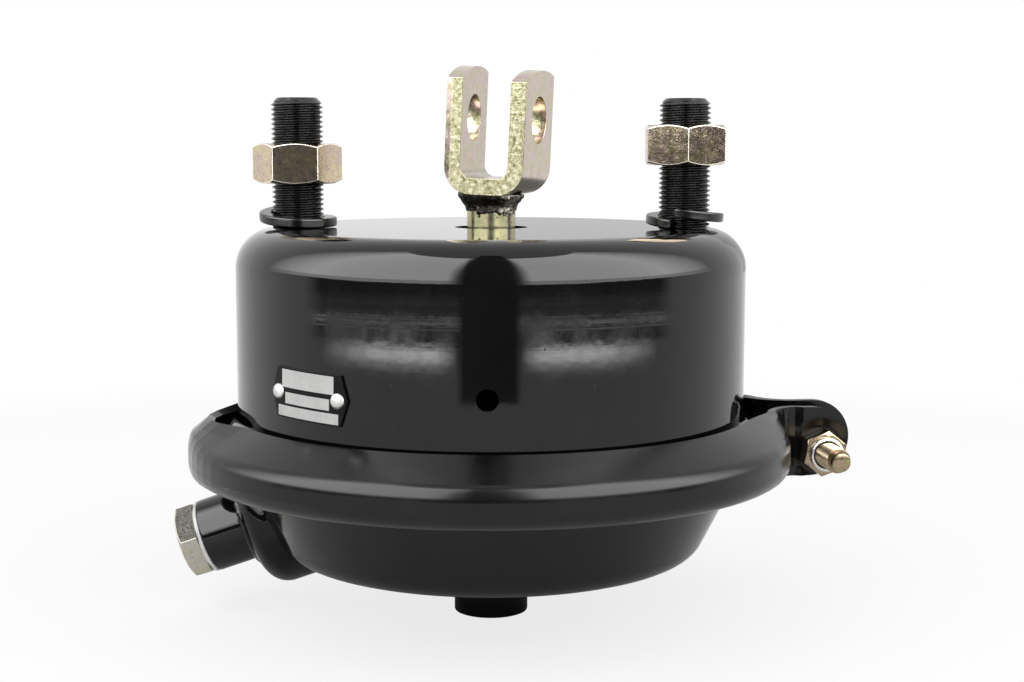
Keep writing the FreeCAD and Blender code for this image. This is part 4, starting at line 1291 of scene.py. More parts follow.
@dataclass
class PushRodEnd:
    """The clevis bent from strip and the weld that holds it on the rod, slightly askew."""

    width: float = 26.6
    depth: float = 28.0
    strip: float = 5.0
    bend: float = 8.5
    underside: float = 10.3
    pin_rise: float = 23.4
    pin_diameter: float = 14.5
    eye_edge: float = 16.0
    top_radius: float = 39.6
    top_shift: float = 3.8
    top_step: float = 0.7
    splay: float = 1.5
    lean: float = 2.5
    turn: float = -15.0
    offset: float = 1.8
    edge: float = 0.45
    rod_radius: float = 7.6
    weld_root: float = 0.8
    funnel: tuple[Point, ...] = ((0.15, 5.1), (0.4, 6.2), (0.9, 7.3), (1.7, 8.3), (2.4, 9.2), (2.7, 9.9),
                                 (2.7, 11.5))
    funnel_foot: float = 5.2
    drops: tuple[DropScatter, ...] = (DropScatter(30, (1.9, 2.5), (0, 360), (9.2, 9.9), (0.4, 0.8)),
                                      DropScatter(26, (0.0, 0.5), (-125, -45), (4.8, 6.4), (0.5, 0.85)),
                                      DropScatter(26, (-0.1, 0.4), (-62, -22), (4.3, 6.3), (0.3, 0.55)))
    drips: tuple[Point, ...] = ((-118.0, 3.6), (-74.0, 3.4), (-35.0, 3.8), (150.0, 3.6))
    drip_size: float = 0.45
    weld_grid: float = 0.24
    lumps: tuple[Point, ...] = ((1.6, 0.5), (0.5, 0.16))

    def place(self) -> Matrix:
        """The turn, lean and offset that the clevis was welded with.

        Returns:
            The place on the rod.
        """
        tilt = Matrix.Rotation(math.radians(self.lean), 4, "Y")
        foot = shift(0, 0, self.underside)
        return shift(self.offset, 0, 0) @ spun(self.turn) @ foot @ tilt @ foot.inverted()

    def strip_outline(self) -> list[Point]:
        """Outline of the bent strip seen from its edge.

        Returns:
            The outline's corners, open at the end.
        """
        half, foot, inner = self.width / 2, self.underside, self.bend - self.strip
        straight, high = half - self.bend, self.underside + self.pin_rise + self.eye_edge + 3.0
        knee = foot + self.bend
        outline = [(half, high), *arc(straight, knee, self.bend, 0, -90, 8)]
        outline += [*arc(-straight, knee, self.bend, -90, -180, 8), (-half, high)]
        outline += [(-half + self.strip, high), *arc(-straight, knee, inner, 180, 270, 6)]
        outline += [*arc(straight, knee, inner, -90, 0, 6), (half - self.strip, high)]
        return outline

    def cap(self, first: float, last: float, top: float) -> bpy.types.Object:
        """A block that cuts an ear's top to its shallow arch.

        Args:
            first: Where it starts along X.
            last: Where it ends.
            top: Height of the arch.

        Returns:
            The block.
        """
        reach = self.depth / 2 + 6.0
        spread = math.degrees(math.asin(reach / self.top_radius))
        curve = arc(self.top_shift, top - self.top_radius, self.top_radius, 90 - spread, 90 + spread, 16)
        corners = [(first, y, z) for y, z in curve]
        corners += [(first, self.top_shift - reach, top + 9.0), (first, self.top_shift + reach, top + 9.0)]
        return prism("ear_cap", corners, (last - first, 0, 0))

    def clevis(self) -> bpy.types.Object:
        """The U with arched ears and its pin hole.

        Returns:
            The clevis in its place on the rod.
        """
        near = -self.depth / 2
        piece = prism("forked_end", [(x, near, z) for x, z in self.strip_outline()], (0, self.depth, 0))
        move_where(piece, lambda spot: spot.x > 0 and spot.y < 0, (-self.splay, 0, 0))
        top = self.underside + self.pin_rise + self.eye_edge
        carve(piece, self.cap(-25.0, 0.0, top), "DIFFERENCE")
        carve(piece, self.cap(0.0, 25.0, top - self.top_step), "DIFFERENCE")
        bore = self.pin_diameter / 2
        pin = lathe("pin_hole", [(0, -30), (bore, -30), (bore, 30), (0, 30)])
        set_down(pin, shift(0, 0, self.underside + self.pin_rise) @ Matrix.Rotation(math.radians(90), 4, "Y"))
        carve(piece, pin, "DIFFERENCE")
        soften(piece, self.edge, 3)
        smooth(piece)
        set_down(piece, self.place())
        return piece

    def weld(self) -> bpy.types.Object:
        """The weld: an uneven funnel of metal with drops along its edge and spatter at its foot.

        Returns:
            The weld in its place on the rod.
        """
        rod = self.rod_radius
        outline = [(rod - self.weld_root, self.funnel_foot)]
        outline += [(rod + stand, height) for stand, height in self.funnel]
        outline += [(rod - self.weld_root, outline[-1][1])]
        parts = [lathe("burnt_weld", closed(outline), 72)]
        dice = random.Random(24)
        for drops in self.drops:
            for _ in range(drops.count):
                radius = rod + dice.uniform(*drops.stand)
                angle = math.radians(dice.uniform(*drops.azimuths))
                parts.append(bead(radius, angle, dice.uniform(*drops.heights), dice.uniform(*drops.sizes)))
        for azimuth, height in self.drips:
            parts.append(bead(rod + 0.05, math.radians(azimuth), height, self.drip_size))
        piece = join(parts, "burnt_weld")
        apply_modifier(piece, "REMESH", mode="VOXEL", voxel_size=self.weld_grid * MM)
        for size, height in self.lumps:
            pimple(piece, size, height)
        lean = self.place().to_3x3() @ Vector((0, 0, 1))
        edit(piece)
        bpy.ops.mesh.bisect(plane_co=Vector((self.offset, 0, self.underside + 0.15)) * MM, plane_no=lean,
                            use_fill=True, clear_outer=True)
        leave_edit()
        smooth(piece, 80)
        return piece

    def build(self, shop: PaintShop) -> None:
        """Builds the clevis and its weld.

        Args:
            shop: Where the finishes come from.
        """
        clevis = self.clevis()
        shop.coat(clevis, shop.clevis)
        mount(clevis, Body.ROD, "yellow_zinc", "clevis")
        weld = self.weld()
        shop.coat(weld, shop.burnt)
        mount(weld, Body.ROD, "weld_dark", "clevis_weld")


@dataclass(frozen=True)
class RingWeld:
    """Sizes of a weld laid round a boss, and the seed of its unevenness."""

    radius: float
    height: float
    thick: float
    seed: int


@dataclass
class AirPorts:
    """The two threaded bosses with their welds, and the plug of the side port."""

    boss_radius: float = 11.7
    bore: float = 7.2
    thread_depth: float = 0.6
    pitch: float = 1.5
    mouth: float = 0.8
    countersink: float = 1.3
    edge: float = 0.6
    bowl_bottom: float = -110.0
    boss_overlap: float = 0.2
    boss_end: float = -122.7
    centre_weld: RingWeld = RingWeld(12.35, -110.35, 1.5, 5)
    slope: float = 19.1
    side_length: float = 15.0
    side_weld: RingWeld = RingWeld(12.6, 14.6, 1.65, 8)
    ripple: float = 2.3
    stray: Point = (-0.2, 0.2)
    wander: Point = (-0.12, 0.12)
    swell: Point = (0.95, 1.08)
    core: float = 0.88
    weld_grid: float = 0.3
    plug_flats: float = 22.0
    plug_head: float = 6.3
    plug_edge: float = 0.3
    plug_depth: float = 10.0
    plug_tip: Point = (6.0, 1.2)
    plug_gap: float = 0.1
    plug_turn: float = -12.0
    seal: float = 1.2

    def side_place(self) -> Matrix:
        """Lays an upright piece along the side port, from its outer end inward.

        Returns:
            The place, worked out from the boss in the frame.
        """
        slope = math.radians(self.slope)
        inward = Vector((math.cos(slope), 0, math.sin(slope)))
        lowest = Vector(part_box("side_port_boss")[0])
        x = lowest.x / MM + self.boss_radius * math.sin(slope)
        z = lowest.z / MM + self.boss_radius * math.cos(slope)
        return pointing(inward, Vector((x, 0, z)))

    def rim_corner(self, height: float) -> list[Point]:
        """The broken outer edge of a boss whose end is at a height."""
        rim, edge = self.boss_radius, self.edge
        return [(rim - edge, height), (rim - 0.3 * edge, height + 0.3 * edge), (rim, height + edge)]

    def centre_boss(self) -> bpy.types.Object:
        """The middle boss, bored and threaded from below.

        Returns:
            The boss in its place.
        """
        rim, bore, low = self.boss_radius, self.bore, self.boss_end
        high = self.bowl_bottom + self.boss_overlap
        root, sink = bore - self.thread_depth, self.countersink
        piece = lathe("centre_boss", closed([(root, low), *self.rim_corner(low), (rim, high), (root, high)]))
        thread = threaded_rod("port_thread", 2 * bore + self.thread_depth, self.pitch, low - 1.0, high + 1.0)
        carve(piece, thread, "DIFFERENCE")
        wide = bore + self.mouth + sink
        cone = lathe("port_mouth", [(0, low - 1), (wide, low - 1), (bore - 0.5, low + sink), (0, low + sink)])
        carve(piece, cone, "DIFFERENCE")
        smooth(piece, 40)
        return piece

    def side_boss(self) -> bpy.types.Object:
        """The side boss, a bored cylinder with a broken edge.

        Returns:
            The boss, upright on the Z axis.
        """
        rim, bore, long, mouth = self.boss_radius, self.bore, self.side_length, self.mouth
        piece = lathe("side_boss", closed([(bore + mouth, 0), *self.rim_corner(0), (rim, long), (bore, long),
                                           (bore, mouth)]))
        smooth(piece)
        return piece

    def ring_weld(self, name: str, weld: RingWeld) -> bpy.types.Object:
        """A weld laid round a boss in overlapping ripples.

        Args:
            name: The piece's name.
            weld: Its sizes.

        Returns:
            The rippled ring.
        """
        clear_bench()
        bpy.ops.mesh.primitive_torus_add(major_segments=96, minor_segments=12, major_radius=weld.radius * MM,
                                         minor_radius=self.core * weld.thick * MM,
                                         location=(0, 0, weld.height * MM))
        parts = [bpy.context.object]
        dice = random.Random(weld.seed)
        count = round(2 * math.pi * weld.radius / self.ripple)
        for step in range(count):
            angle = 2 * math.pi * (step + dice.uniform(*self.stray)) / count
            radius = weld.radius + dice.uniform(*self.wander)
            parts.append(bead(radius, angle, weld.height, weld.thick * dice.uniform(*self.swell)))
        piece = join(parts, name)
        apply_modifier(piece, "REMESH", mode="VOXEL", voxel_size=self.weld_grid * MM)
        apply_modifier(piece, "SMOOTH", factor=0.5, iterations=2)
        smooth(piece, 80)
        return piece

    def plug(self) -> bpy.types.Object:
        """The hexagon plug with its shank.

        Returns:
            The plug, upright on the Z axis with its head down.
        """
        foot = -self.plug_head - self.seal
        head = hexagon("port_plug_head", self.plug_flats, foot, -self.seal, True, False)
        soften(head, self.plug_edge, 3)
        half, top, deep = self.bore - self.plug_gap, -self.seal - self.plug_gap, self.plug_depth
        tip, taper = self.plug_tip
        shank = lathe("plug_shank", [(0, top), (half, top), (half, deep - taper), (tip, deep), (0, deep)])
        piece = join([head, shank], "hexagon_plug")
        set_down(piece, spun(90 + self.plug_turn))
        smooth(piece)
        return piece

    def washer(self) -> bpy.types.Object:
        """The sealing washer with rounded edges.

        Returns:
            The washer, upright on the Z axis.
        """
        rim, bore, thick = self.boss_radius - 0.1, self.bore, self.seal
        edge = [(rim - 0.3, -thick), (rim - 0.08, -thick + 0.12), (rim, -thick / 2), (rim - 0.08, -0.12),
                (rim - 0.3, 0.0)]
        piece = lathe("seal_ring", closed([(bore, -thick), *edge, (bore, 0.0)]))
        smooth(piece, 50)
        return piece

    def build(self, shop: PaintShop) -> None:
        """Builds both ports.

        Args:
            shop: Where the finishes come from.
        """
        side = self.side_place()
        upright = Matrix.Identity(4)
        for piece, finish, slot, node, place in (
                (self.centre_boss(), shop.boss, "boss_paint", "centre_port_boss", upright),
                (self.ring_weld("centre_ripple_weld", self.centre_weld), shop.weld, "weld_paint",
                 "centre_port_weld", upright),
                (self.side_boss(), shop.boss, "boss_paint", "side_port_boss", side),
                (self.ring_weld("side_ripple_weld", self.side_weld), shop.weld, "weld_paint",
                 "side_port_weld", side),
                (self.plug(), shop.plug, "plug_zinc", "port_plug", side),
                (self.washer(), shop.seal, "seal_white", "port_plug_seal", side)):
            set_down(piece, place)
            shop.coat(piece, finish)
            mount(piece, Body.HOUSING, slot, node)


@dataclass
class ClampFastening:
    """The bolt and the collared nut that draw the band's ears together."""

    azimuth: float = 8.0
    reach: float = 107.05
    height: float = -72.9
    seat: float = 4.8
    flats: float = 13.0
    head: float = 5.3
    edge: float = 0.2
    diameter: float = 8.0
    pitch: float = 1.25
    dog: float = 6.0
    dog_length: float = 2.4
    nut_height: float = 6.0
    collar: float = 1.9
    collar_diameter: float = 11.2
    collar_round: float = 0.7
    stand: float = 13.3

    def place(self, toward: float) -> Matrix:
        """Points an upright piece away from the ears.

        Args:
            toward: 1 for the back, -1 for the front.

        Returns:
            The place on the ear of that side.
        """
        turn = math.radians(self.azimuth)
        out = Vector((math.cos(turn), math.sin(turn), 0))
        way = Vector((-out.y, out.x, 0)) * toward
        return pointing(way, out * self.reach + way * self.seat + Vector((0, 0, self.height)))

    def bolt(self) -> bpy.types.Object:
        """The bolt with its thread and dog point.

        Returns:
            The bolt, head up, with the head's seat at nought.
        """
        end = -(2 * self.seat + self.nut_height + self.collar + self.stand)
        half, dog, neck = self.diameter / 2, self.dog / 2, end + self.dog_length
        head = hexagon("clamp_bolt_head", self.flats, 0, self.head, False, True)
        soften(head, self.edge, 2)
        thread = threaded_rod("clamp_thread", self.diameter, self.pitch, neck + 0.8, 0.2)
        run = lathe("thread_run", [(0, neck - 0.1), (dog, neck), (half + 1.4, neck + self.dog_length),
                                   (half + 1.4, 2), (0, 2)])
        carve(thread, run, "INTERSECT")
        point = lathe("dog_point", [(0, end), (dog - 0.45, end), (dog - 0.1, end + 0.15), (dog, end + 0.5),
                                    (dog, neck + 1.1), (0, neck + 1.1)])
        piece = join([head, thread, point], "ear_bolt")
        smooth(piece, 40)
        return piece

    def nut(self, shop: PaintShop) -> bpy.types.Object:
        """The nut with its round collar, which is silver.

        Args:
            shop: Where the finishes come from.

        Returns:
            The nut, upright with its seat at nought.
        """
        body = hexagon("ear_nut", self.flats, 0, self.nut_height, True, True)
        bore = self.diameter / 2 - 0.1
        carve(body, lathe("ear_nut_bore", [(0, -1), (bore, -1), (bore, 9), (0, 9)]), "DIFFERENCE")
        soften(body, self.edge, 2)
        rim, low, top = self.collar_diameter / 2, self.nut_height - 1.0, self.nut_height + self.collar
        corner = self.collar_round
        outline = [(bore, low), (rim, low), (rim, top - corner), (rim - 0.2, top - 0.25), (rim - corner, top),
                   (rim - 1.0, top - 0.02), (bore + 0.2, top - 0.5), (bore, top - corner)]
        ring = lathe("silver_collar", closed(outline))
        shop.coat(body, shop.bolt)
        shop.coat(ring, shop.collar)
        piece = join([body, ring], "ear_nut")
        smooth(piece, 40)
        return piece

    def build(self, shop: PaintShop) -> None:
        """Builds the bolt and the nut and sets them in the ears.

        Args:
            shop: Where the finishes come from.
        """
        bolt = self.bolt()
        shop.coat(bolt, shop.bolt)
        set_down(bolt, self.place(1) @ spun(30))
        mount(bolt, Body.HOUSING, "bolt_zinc", "clamp_bolt")
        nut = self.nut(shop)
        set_down(nut, self.place(-1) @ spun(30))
        mount(nut, Body.HOUSING, "bolt_zinc", "clamp_nut")


@dataclass
class NamePlate:
    """The riveted plate on the wall, with three bare panels."""

    azimuth: float = -129.6
    height: float = -44.2
    tilt: float = -1.5
    wall: float = 79.3
    sheet: float = 0.8
    edge: float = 0.12
    half_width: float = 14.9
    half_edge: float = 12.5
    half_height: float = 7.2
    panels: tuple[Panel, ...] = ((10.3, 1.6, 6.7), (8.8, -3.0, 0.2), (12.0, -6.7, -3.7))
    panel_sheet: float = 0.08
    panel_sink: float = 0.02
    rivet_reach: float = 11.7
    rivet: float = 2.3
    rivet_head: float = 1.3
    rivet_dome: tuple[Point, ...] = ((1.0, 0.16), (0.93, 0.42), (0.78, 0.68), (0.5, 0.9), (0.22, 0.98),
                                     (0.0, 1.0))

    def patch(self, name: str, half: float, low: float, high: float, radius: float,
              sheet: float) -> bpy.types.Object:
        """A piece of thin sheet curved round the wall, centred on the X axis.

        Args:
            name: The new piece's name.
            half: Half its width.
            low: Height of its lower edge.
            high: Height of its upper edge.
            radius: Radius of its back.
            sheet: Thickness, outward.

        Returns:
            The curved sheet with its thickness.
        """
        turn = 2 * math.degrees(math.asin(half / radius))
        piece = lathe(name, [(radius, low), (radius, (low + high) / 2), (radius, high)], 28, turn)
        face_way(piece, 0.0)
        if piece.data.polygons[0].normal.x < 0:
            edit(piece)
            bpy.ops.mesh.flip_normals()
            leave_edit()
        if half > self.half_edge:
            self.cut_corners(piece)
        apply_modifier(piece, "SOLIDIFY", thickness=sheet * MM, offset=1.0)
        return piece

    def cut_corners(self, piece: bpy.types.Object) -> None:
        """Cuts the four corners so that each side comes to a point.

        Args:
            piece: The sheet, still without thickness.
        """
        slant = self.half_width - self.half_edge
        for across in (-1, 1):
            for up in (-1, 1):
                edit(piece)
                way = Vector((0, across * self.half_height, up * slant)).normalized()
                bpy.ops.mesh.bisect(plane_co=(0, across * self.half_width * MM, 0), plane_no=way,
                                    clear_outer=True)
                leave_edit()

    def plate(self, shop: PaintShop) -> bpy.types.Object:
        """The hexagonal plate and its raised panels.

        Args:
            shop: Where the finishes come from.

        Returns:
            The plate, centred on the X axis.
        """
        high = self.half_height
        back = self.patch("riveted_plate", self.half_width, -high, high, self.wall, self.sheet)
        soften(back, self.edge, 2)
        shop.coat(back, shop.label)
        parts = [back]
        for half, low, top in self.panels:
            face = self.wall + self.sheet - self.panel_sink
            panel = self.patch("bare_panel", half, low, top, face, self.panel_sheet)
            shop.coat(panel, shop.panel)
            parts.append(panel)
        piece = join(parts, "riveted_plate")
        smooth(piece, 30)
        return piece

    def rivets(self) -> bpy.types.Object:
        """Both domed rivet heads.

        Returns:
            The heads as one piece, centred on the X axis.
        """
        half, high = self.rivet, self.rivet_head
        outline = [(0, -0.1), (half, -0.1)]
        outline += [(half * across, high * up) for across, up in self.rivet_dome]
        swing = math.degrees(self.rivet_reach / self.wall)
        heads = []
        for side in (-1, 1):
            head = lathe("rivet_head", outline, 40)
            turn = math.radians(side * swing)
            way = Vector((math.cos(turn), math.sin(turn), 0))
            set_down(head, pointing(way, way * (self.wall + self.sheet)))
            heads.append(head)
        piece = join(heads, "plate_rivets")
        smooth(piece, 50)
        return piece

    def build(self, shop: PaintShop) -> None:
        """Builds the plate and its rivets on the wall.

        Args:
            shop: Where the finishes come from.
        """
        tilt = Matrix.Rotation(math.radians(self.tilt), 4, "X")
        place = shift(0, 0, self.height) @ spun(self.azimuth) @ tilt
        plate = self.plate(shop)
        set_down(plate, place)
        mount(plate, Body.HOUSING, "label_black", "name_plate")
        rivets = self.rivets()
        set_down(rivets, place)
        shop.coat(rivets, shop.rivet)
        mount(rivets, Body.HOUSING, "rivet_aluminium", "name_plate_rivets")


@dataclass
class InnerParts:
    """The return spring and the diaphragm, which change shape with the stroke."""

    wire: float = 4.5
    foot_radius: float = 21.5
    head_radius: float = 42.5
    foot: float = -89.85
    head: float = -9.35
    active: float = 3.5
    closed_end: float = 0.6
    rubber: float = 3.2
    corner: Point = (56.9, -90.9)
    corner_radius: float = 9.0
    corner_angle: float = 27.0
    under_rim: tuple[Point, ...] = ((88.2, -70.6), (78.2, -70.6), (77.2, -71.1), (64.9, -95.0))
    over_rim: tuple[Point, ...] = ((75.4, -67.6), (76.2, -67.2), (78.2, -68.9), (80.3, -64.4), (82.0, -63.7),
                                   (88.2, -67.2))

    def spring_line(self) -> list[Place]:
        """Middle line of the spring's wire.

        Returns:
            Its points, from the small end turn at the foot to the wide one at the head.
        """
        total = self.active + 2 * self.closed_end
        steps = round(total * 36)
        line = []
        for step in range(steps + 1):
            turns = total * step / steps
            climb = min(max((turns - self.closed_end) / self.active, 0.0), 1.0)
            radius = self.foot_radius + (self.head_radius - self.foot_radius) * turns / total
            angle = 2 * math.pi * turns
            height = self.foot + (self.head - self.foot) * climb
            line.append((radius * math.cos(angle), radius * math.sin(angle), height))
        return line

    def spring(self) -> bpy.types.Object:
        """The conical spring of round wire with closed end turns.

        Returns:
            The spring in its place.
        """
        piece = draw_line("coiled_spring", self.spring_line())
        leave_edit()
        activate(piece)
        bpy.ops.object.convert(target="CURVE")
        curve = bpy.context.object
        curve.data.bevel_depth = self.wire / 2 * MM
        curve.data.bevel_resolution = 4
        curve.data.use_fill_caps = True
        bpy.ops.object.convert(target="MESH")
        piece = bpy.context.object
        piece.name = "coiled_spring"
        piece.data.name = "coiled_spring"
        heal(piece)
        smooth(piece, 50)
        return piece

    def diaphragm(self) -> bpy.types.Object:
        """The rubber diaphragm with its wedge bead, lying along the lower housing.

        Returns:
            The diaphragm in its place.
        """
        x, z = self.corner
        outer, inner, slope = self.corner_radius, self.corner_radius - self.rubber, -self.corner_angle
        under = [*self.under_rim, *arc(x, z, outer, slope, -90, 6), (0, z - outer)]
        over = [(0, z - inner), *arc(x, z, inner, -90, slope, 6), *self.over_rim]
        piece = lathe("rubber_diaphragm", closed([*under, *over]), 96)
        smooth(piece, 40)
        return piece

    def build(self, shop: PaintShop) -> None:
        """Builds both, the spring riding on the spring's body and the diaphragm fixed in place.

        Args:
            shop: Where the finishes come from.
        """
        spring = self.spring()
        shop.coat(spring, shop.spring)
        mount(spring, Body.SPRING, "spring_steel", "return_spring")
        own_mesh(spring)
        diaphragm = self.diaphragm()
        shop.coat(diaphragm, shop.rubber)
        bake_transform(diaphragm)
        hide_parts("diaphragm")
        LOG.info("built %s", diaphragm.name)


@dataclass
class PressedShells:
    """The two housings, the clamp band and what stays inside, kept from the frame."""

    def build(self, shop: PaintShop) -> None:
        """Paints the CAD nodes whose shapes are right.

        Args:
            shop: Where the finishes come from.
        """
        for name, finish in (("upper_housing", shop.housing), ("lower_housing", shop.bowl),
                             ("clamp_band", shop.band), ("push_rod", shop.rod), ("stud_plate", shop.steel),
                             ("push_plate", shop.steel), ("push_plate_weld", shop.burnt)):
            shop.coat_node(name, finish)


@dataclass(frozen=True)
class MirroredPanel:
    """A curved panel that only mirroring surfaces see.

    Azimuths are degrees from the camera's side, positive to the right, and the panel fades out over the
    degrees given at its first and last one. A glow of 1 is white.
    """

    name: str
    outline: tuple[Point, ...]
    azimuths: Point
    glow: float
    fades: Point = (3.0, 3.0)


@dataclass(frozen=True)
class CurvedSection:
    """Section of a panel that curves over the object, its edges given in degrees above the level."""

    radius: float
    bottom: float
    top: float
    steps: int

    def outline(self) -> tuple[Point, ...]:
        """Its corners from the bottom up."""
        return tuple(arc(0, 0, self.radius, self.bottom, self.top, self.steps))


@dataclass
class Studio:
    """Camera, lamps, floor and surroundings."""

    eye: Place = (6.6, -522.06, 27.457)
    pitch: float = 6.926
    roll: float = 0.1
    lens: float = 58.527
    sensor: float = 36.0
    floor: float = -122.7
    floor_gap: float = 0.2
    floor_size: float = 12.0
    floor_glow: float = 0.8
    floor_fade: Point = (0.12, 0.55)
    lamp: float = 2.2
    lamp_azimuth: float = 48.0
    lamp_size: Point = (1.1, 0.9)
    fill: float = 0.55
    gap: float = 13.0
    high_box: CurvedSection = CurvedSection(1400, 10, 70, 12)
    high_glow: float = 7.0
    low_box: CurvedSection = CurvedSection(1400, 4.5, 10.1, 3)
    low_glow: float = 4.0
    box_end: float = 112.0
    box_fades: Point = (30, 5)
    dark_room: CurvedSection = CurvedSection(1200, -5.7, 4.5, 4)
    dark_gap: CurvedSection = CurvedSection(500, -13, 75, 18)
    dark: float = 0.12
    room_fades: Point = (8, 8)
    back_wall: CurvedSection = CurvedSection(1300, -5, 16, 4)
    back_azimuths: Point = (150, 210)
    back_glow: float = 0.7
    ring_lift: float = 0.5
    glow_rings: tuple[Ring, ...] = ((750, 780, 1.8), (780, 810, 3.0), (810, 835, 5.0), (835, 860, 8.5),
                                    (860, 905, 11.5), (905, 925, 8.0), (925, 945, 3.5))
    glow_end: float = 74.0
    glow_fades: Point = (28, 8)
    dim_rings: tuple[Ring, ...] = ((945, 1020, 0.15), (1020, 1064, 3.0), (1064, 1300, 0.4))
    dim_end: float = 84.0
    dim_fades: Point = (10, 10)

    def camera(self) -> None:
        """Sets the camera at the photograph's view."""
        pitch, roll = math.radians(self.pitch), math.radians(self.roll)
        forward = Vector((0, math.cos(pitch), -math.sin(pitch)))
        level_up = Vector((0, math.sin(pitch), math.cos(pitch)))
        level_right = Vector((1, 0, 0))
        right = level_right * math.cos(roll) + level_up * math.sin(roll)
        up = level_up * math.cos(roll) - level_right * math.sin(roll)
        data = bpy.data.cameras.new("photo_camera")
        data.lens = self.lens
        data.sensor_width = self.sensor
        data.sensor_fit = "HORIZONTAL"
        data.clip_start = 0.01
        data.clip_end = 50.0
        camera = bpy.data.objects.new("photo_camera", data)
        bpy.context.scene.collection.objects.link(camera)
        turn = Matrix((right, up, -forward)).transposed().to_4x4()
        camera.matrix_world = Matrix.Translation(Vector(self.eye) * MM) @ turn
        bpy.context.scene.camera = camera

    def soft_lamp(self, name: str, azimuth: float, elevation: float = 45.0, distance: float = 1.3) -> None:
        """Hangs a wide lamp that lights the object but isn't mirrored in it.

        Args:
            name: Name of the lamp.
            azimuth: Degrees from the camera's side, positive to the right.
            elevation: Degrees above the level.
            distance: Metres from the object.
        """
        data = bpy.data.lights.new(name, "AREA")
        data.shape = "RECTANGLE"
        width, height = self.lamp_size
        data.size, data.size_y = width, height
        data.energy = self.lamp * math.pi * width * height
        lamp = bpy.data.objects.new(name, data)
        bpy.context.scene.collection.objects.link(lamp)
        a, e = math.radians(azimuth), math.radians(elevation)
        way = Vector((math.sin(a) * math.cos(e), -math.cos(a) * math.cos(e), math.sin(e)))
        target = Vector((0, 0, -0.03))
        turn = way.to_track_quat("Z", "Y").to_matrix().to_4x4()
        lamp.matrix_world = Matrix.Translation(target + way * distance) @ turn
        lamp.visible_glossy = False
        lamp.visible_camera = False

    def hang(self, plan: MirroredPanel) -> None:
        """Makes a mirrored panel and hides it from all but glossy rays.

        Args:
            plan: What the panel is like.
        """
        first, last = plan.azimuths
        panel = lathe(plan.name, plan.outline, 24, last - first)
        face_way(panel, (first + last) / 2 - 90)
        recipe = Recipe(plan.name)
        turn = recipe.maths("ARCTAN2", recipe.axis("X"), recipe.maths("MULTIPLY", recipe.axis("Y"), -1.0))
        rise = recipe.remap(turn, math.radians(first), math.radians(first + plan.fades[0]), 0.0, 1.0)
        fall = recipe.remap(turn, math.radians(last - plan.fades[1]), math.radians(last), 1.0, 0.0)
        light = recipe.add("ShaderNodeEmission")
        light.inputs["Strength"].default_value = plan.glow
        clear = recipe.add("ShaderNodeBsdfTransparent")
        recipe.cover(recipe.maths("MULTIPLY", rise, fall), clear.outputs[0], light.outputs[0])
        panel.data.materials.append(recipe.material)
        panel.visible_camera = False
        panel.visible_diffuse = False
        panel.visible_transmission = False
        panel.visible_shadow = False

    def pair(self, name: str, outline: tuple[Point, ...], end: float, glow: float, fades: Point) -> None:
        """Hangs a panel on each side of the dark gap in the middle.

        Args:
            name: What follows the side in both names.
            outline: Radius and height of the section's corners.
            end: Azimuth of the outer end.
            glow: Brightness.
            fades: Degrees over which the outer and the inner end fade.
        """
        outer, inner = fades
        self.hang(MirroredPanel("left_" + name, outline, (-end, -self.gap), glow, (outer, inner)))
        self.hang(MirroredPanel("right_" + name, outline, (self.gap, end), glow, (inner, outer)))

    def mirrored_room(self) -> None:
        """Hangs what the gloss mirrors: soft boxes, the dark room round them and the floor's glow."""
        for name, box, glow in (("box_high", self.high_box, self.high_glow),
                                ("box_low", self.low_box, self.low_glow)):
            self.pair(name, box.outline(), self.box_end, glow, self.box_fades)
        wide, narrow = (-self.dim_end, self.dim_end), (-self.gap, self.gap)
        self.hang(MirroredPanel("dark_room", self.dark_room.outline(), wide, self.dark, self.room_fades))
        self.hang(MirroredPanel("dark_gap", self.dark_gap.outline(), narrow, self.dark))
        self.hang(MirroredPanel("back_wall", self.back_wall.outline(), self.back_azimuths, self.back_glow))
        low = self.floor + self.ring_lift
        for inner, outer, glow in self.glow_rings:
            outline = ((inner, low), (outer, low))
            self.pair(f"glow_{inner}", outline, self.glow_end, glow, self.glow_fades)
        for inner, outer, glow in self.dim_rings:
            outline = ((inner, low), (outer, low))
            self.hang(MirroredPanel(f"floor_ring_{inner}", outline, wide, glow, self.dim_fades))

    def seen(self, tree: bpy.types.NodeTree) -> bpy.types.NodeSocket:
        """One for camera, glossy and transmission rays, and nought for the rest.

        Args:
            tree: The node tree that asks.

        Returns:
            The socket with one or nought.
        """
        path = tree.nodes.new("ShaderNodeLightPath")
        result = path.outputs["Is Camera Ray"]
        for ray in ("Is Glossy Ray", "Is Transmission Ray"):
            either = tree.nodes.new("ShaderNodeMath")
            either.operation = "MAXIMUM"
            tree.links.new(result, either.inputs[0])
            tree.links.new(path.outputs[ray], either.inputs[1])
            result = either.outputs[0]
        return result

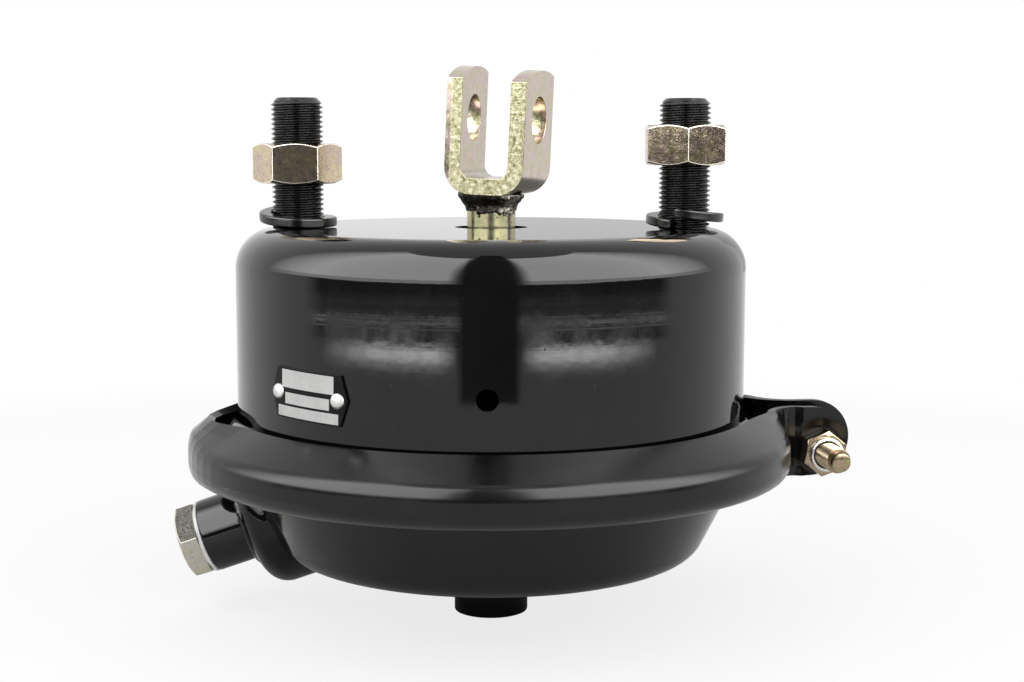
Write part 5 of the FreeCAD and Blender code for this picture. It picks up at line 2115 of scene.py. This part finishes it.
    def surroundings(self) -> None:
        """A white backdrop that lights the object only softly."""
        world = bpy.data.worlds.new("studio")
        bpy.context.scene.world = world
        world.use_nodes = True
        tree = world.node_tree
        background = tree.nodes["Background"]
        background.inputs["Color"].default_value = (1, 1, 1, 1)
        level = tree.nodes.new("ShaderNodeMapRange")
        level.inputs["To Min"].default_value = self.fill
        level.inputs["To Max"].default_value = 1.0
        tree.links.new(self.seen(tree), level.inputs["Value"])
        tree.links.new(level.outputs["Result"], background.inputs["Strength"])

    def ground(self) -> None:
        """A white floor under the centre boss that keeps the object's shadow near it."""
        clear_bench()
        height = (self.floor - self.floor_gap) * MM
        bpy.ops.mesh.primitive_plane_add(size=self.floor_size, location=(0, 0, height))
        floor = bpy.context.object
        floor.name = "floor"
        bpy.ops.object.transform_apply(location=True, rotation=True, scale=True)
        recipe = Recipe("floor_white")
        recipe.set(Roughness=0.9, Specular_IOR_Level=0.0, Base_Color=(0.97, 0.97, 0.97))
        length = recipe.add("ShaderNodeVectorMath", operation="LENGTH")
        recipe.link(recipe.place, length.inputs[0])
        far = recipe.remap(length.outputs["Value"], *self.floor_fade, 0.0, 1.0)
        camera = recipe.add("ShaderNodeLightPath").outputs["Is Camera Ray"]
        near = recipe.maths("MULTIPLY", camera, self.floor_glow)
        share = recipe.maths("MAXIMUM", recipe.maths("MULTIPLY", far, self.seen(recipe.tree)), near)
        glow = recipe.add("ShaderNodeEmission")
        recipe.cover(share, recipe.shader.outputs[0], glow.outputs[0])
        floor.data.materials.append(recipe.material)

    def build(self) -> None:
        """Sets up the whole studio."""
        bpy.context.scene.view_settings.view_transform = "Standard"
        self.camera()
        self.surroundings()
        self.ground()
        self.mirrored_room()
        self.soft_lamp("left_lamp", -self.lamp_azimuth)
        self.soft_lamp("right_lamp", self.lamp_azimuth)
        LOG.info("studio ready")


def main() -> None:
    """Builds every sub-assembly in order."""
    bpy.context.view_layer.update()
    shop = PaintShop()
    Studio().build()
    for assembly in (PressedShells(), MountingStuds(), PushRodEnd(), AirPorts(), ClampFastening(),
                     NamePlate(), InnerParts()):
        assembly.build(shop)
    LOG.info("all pieces in place")


if __name__ == "__main__":
    main()
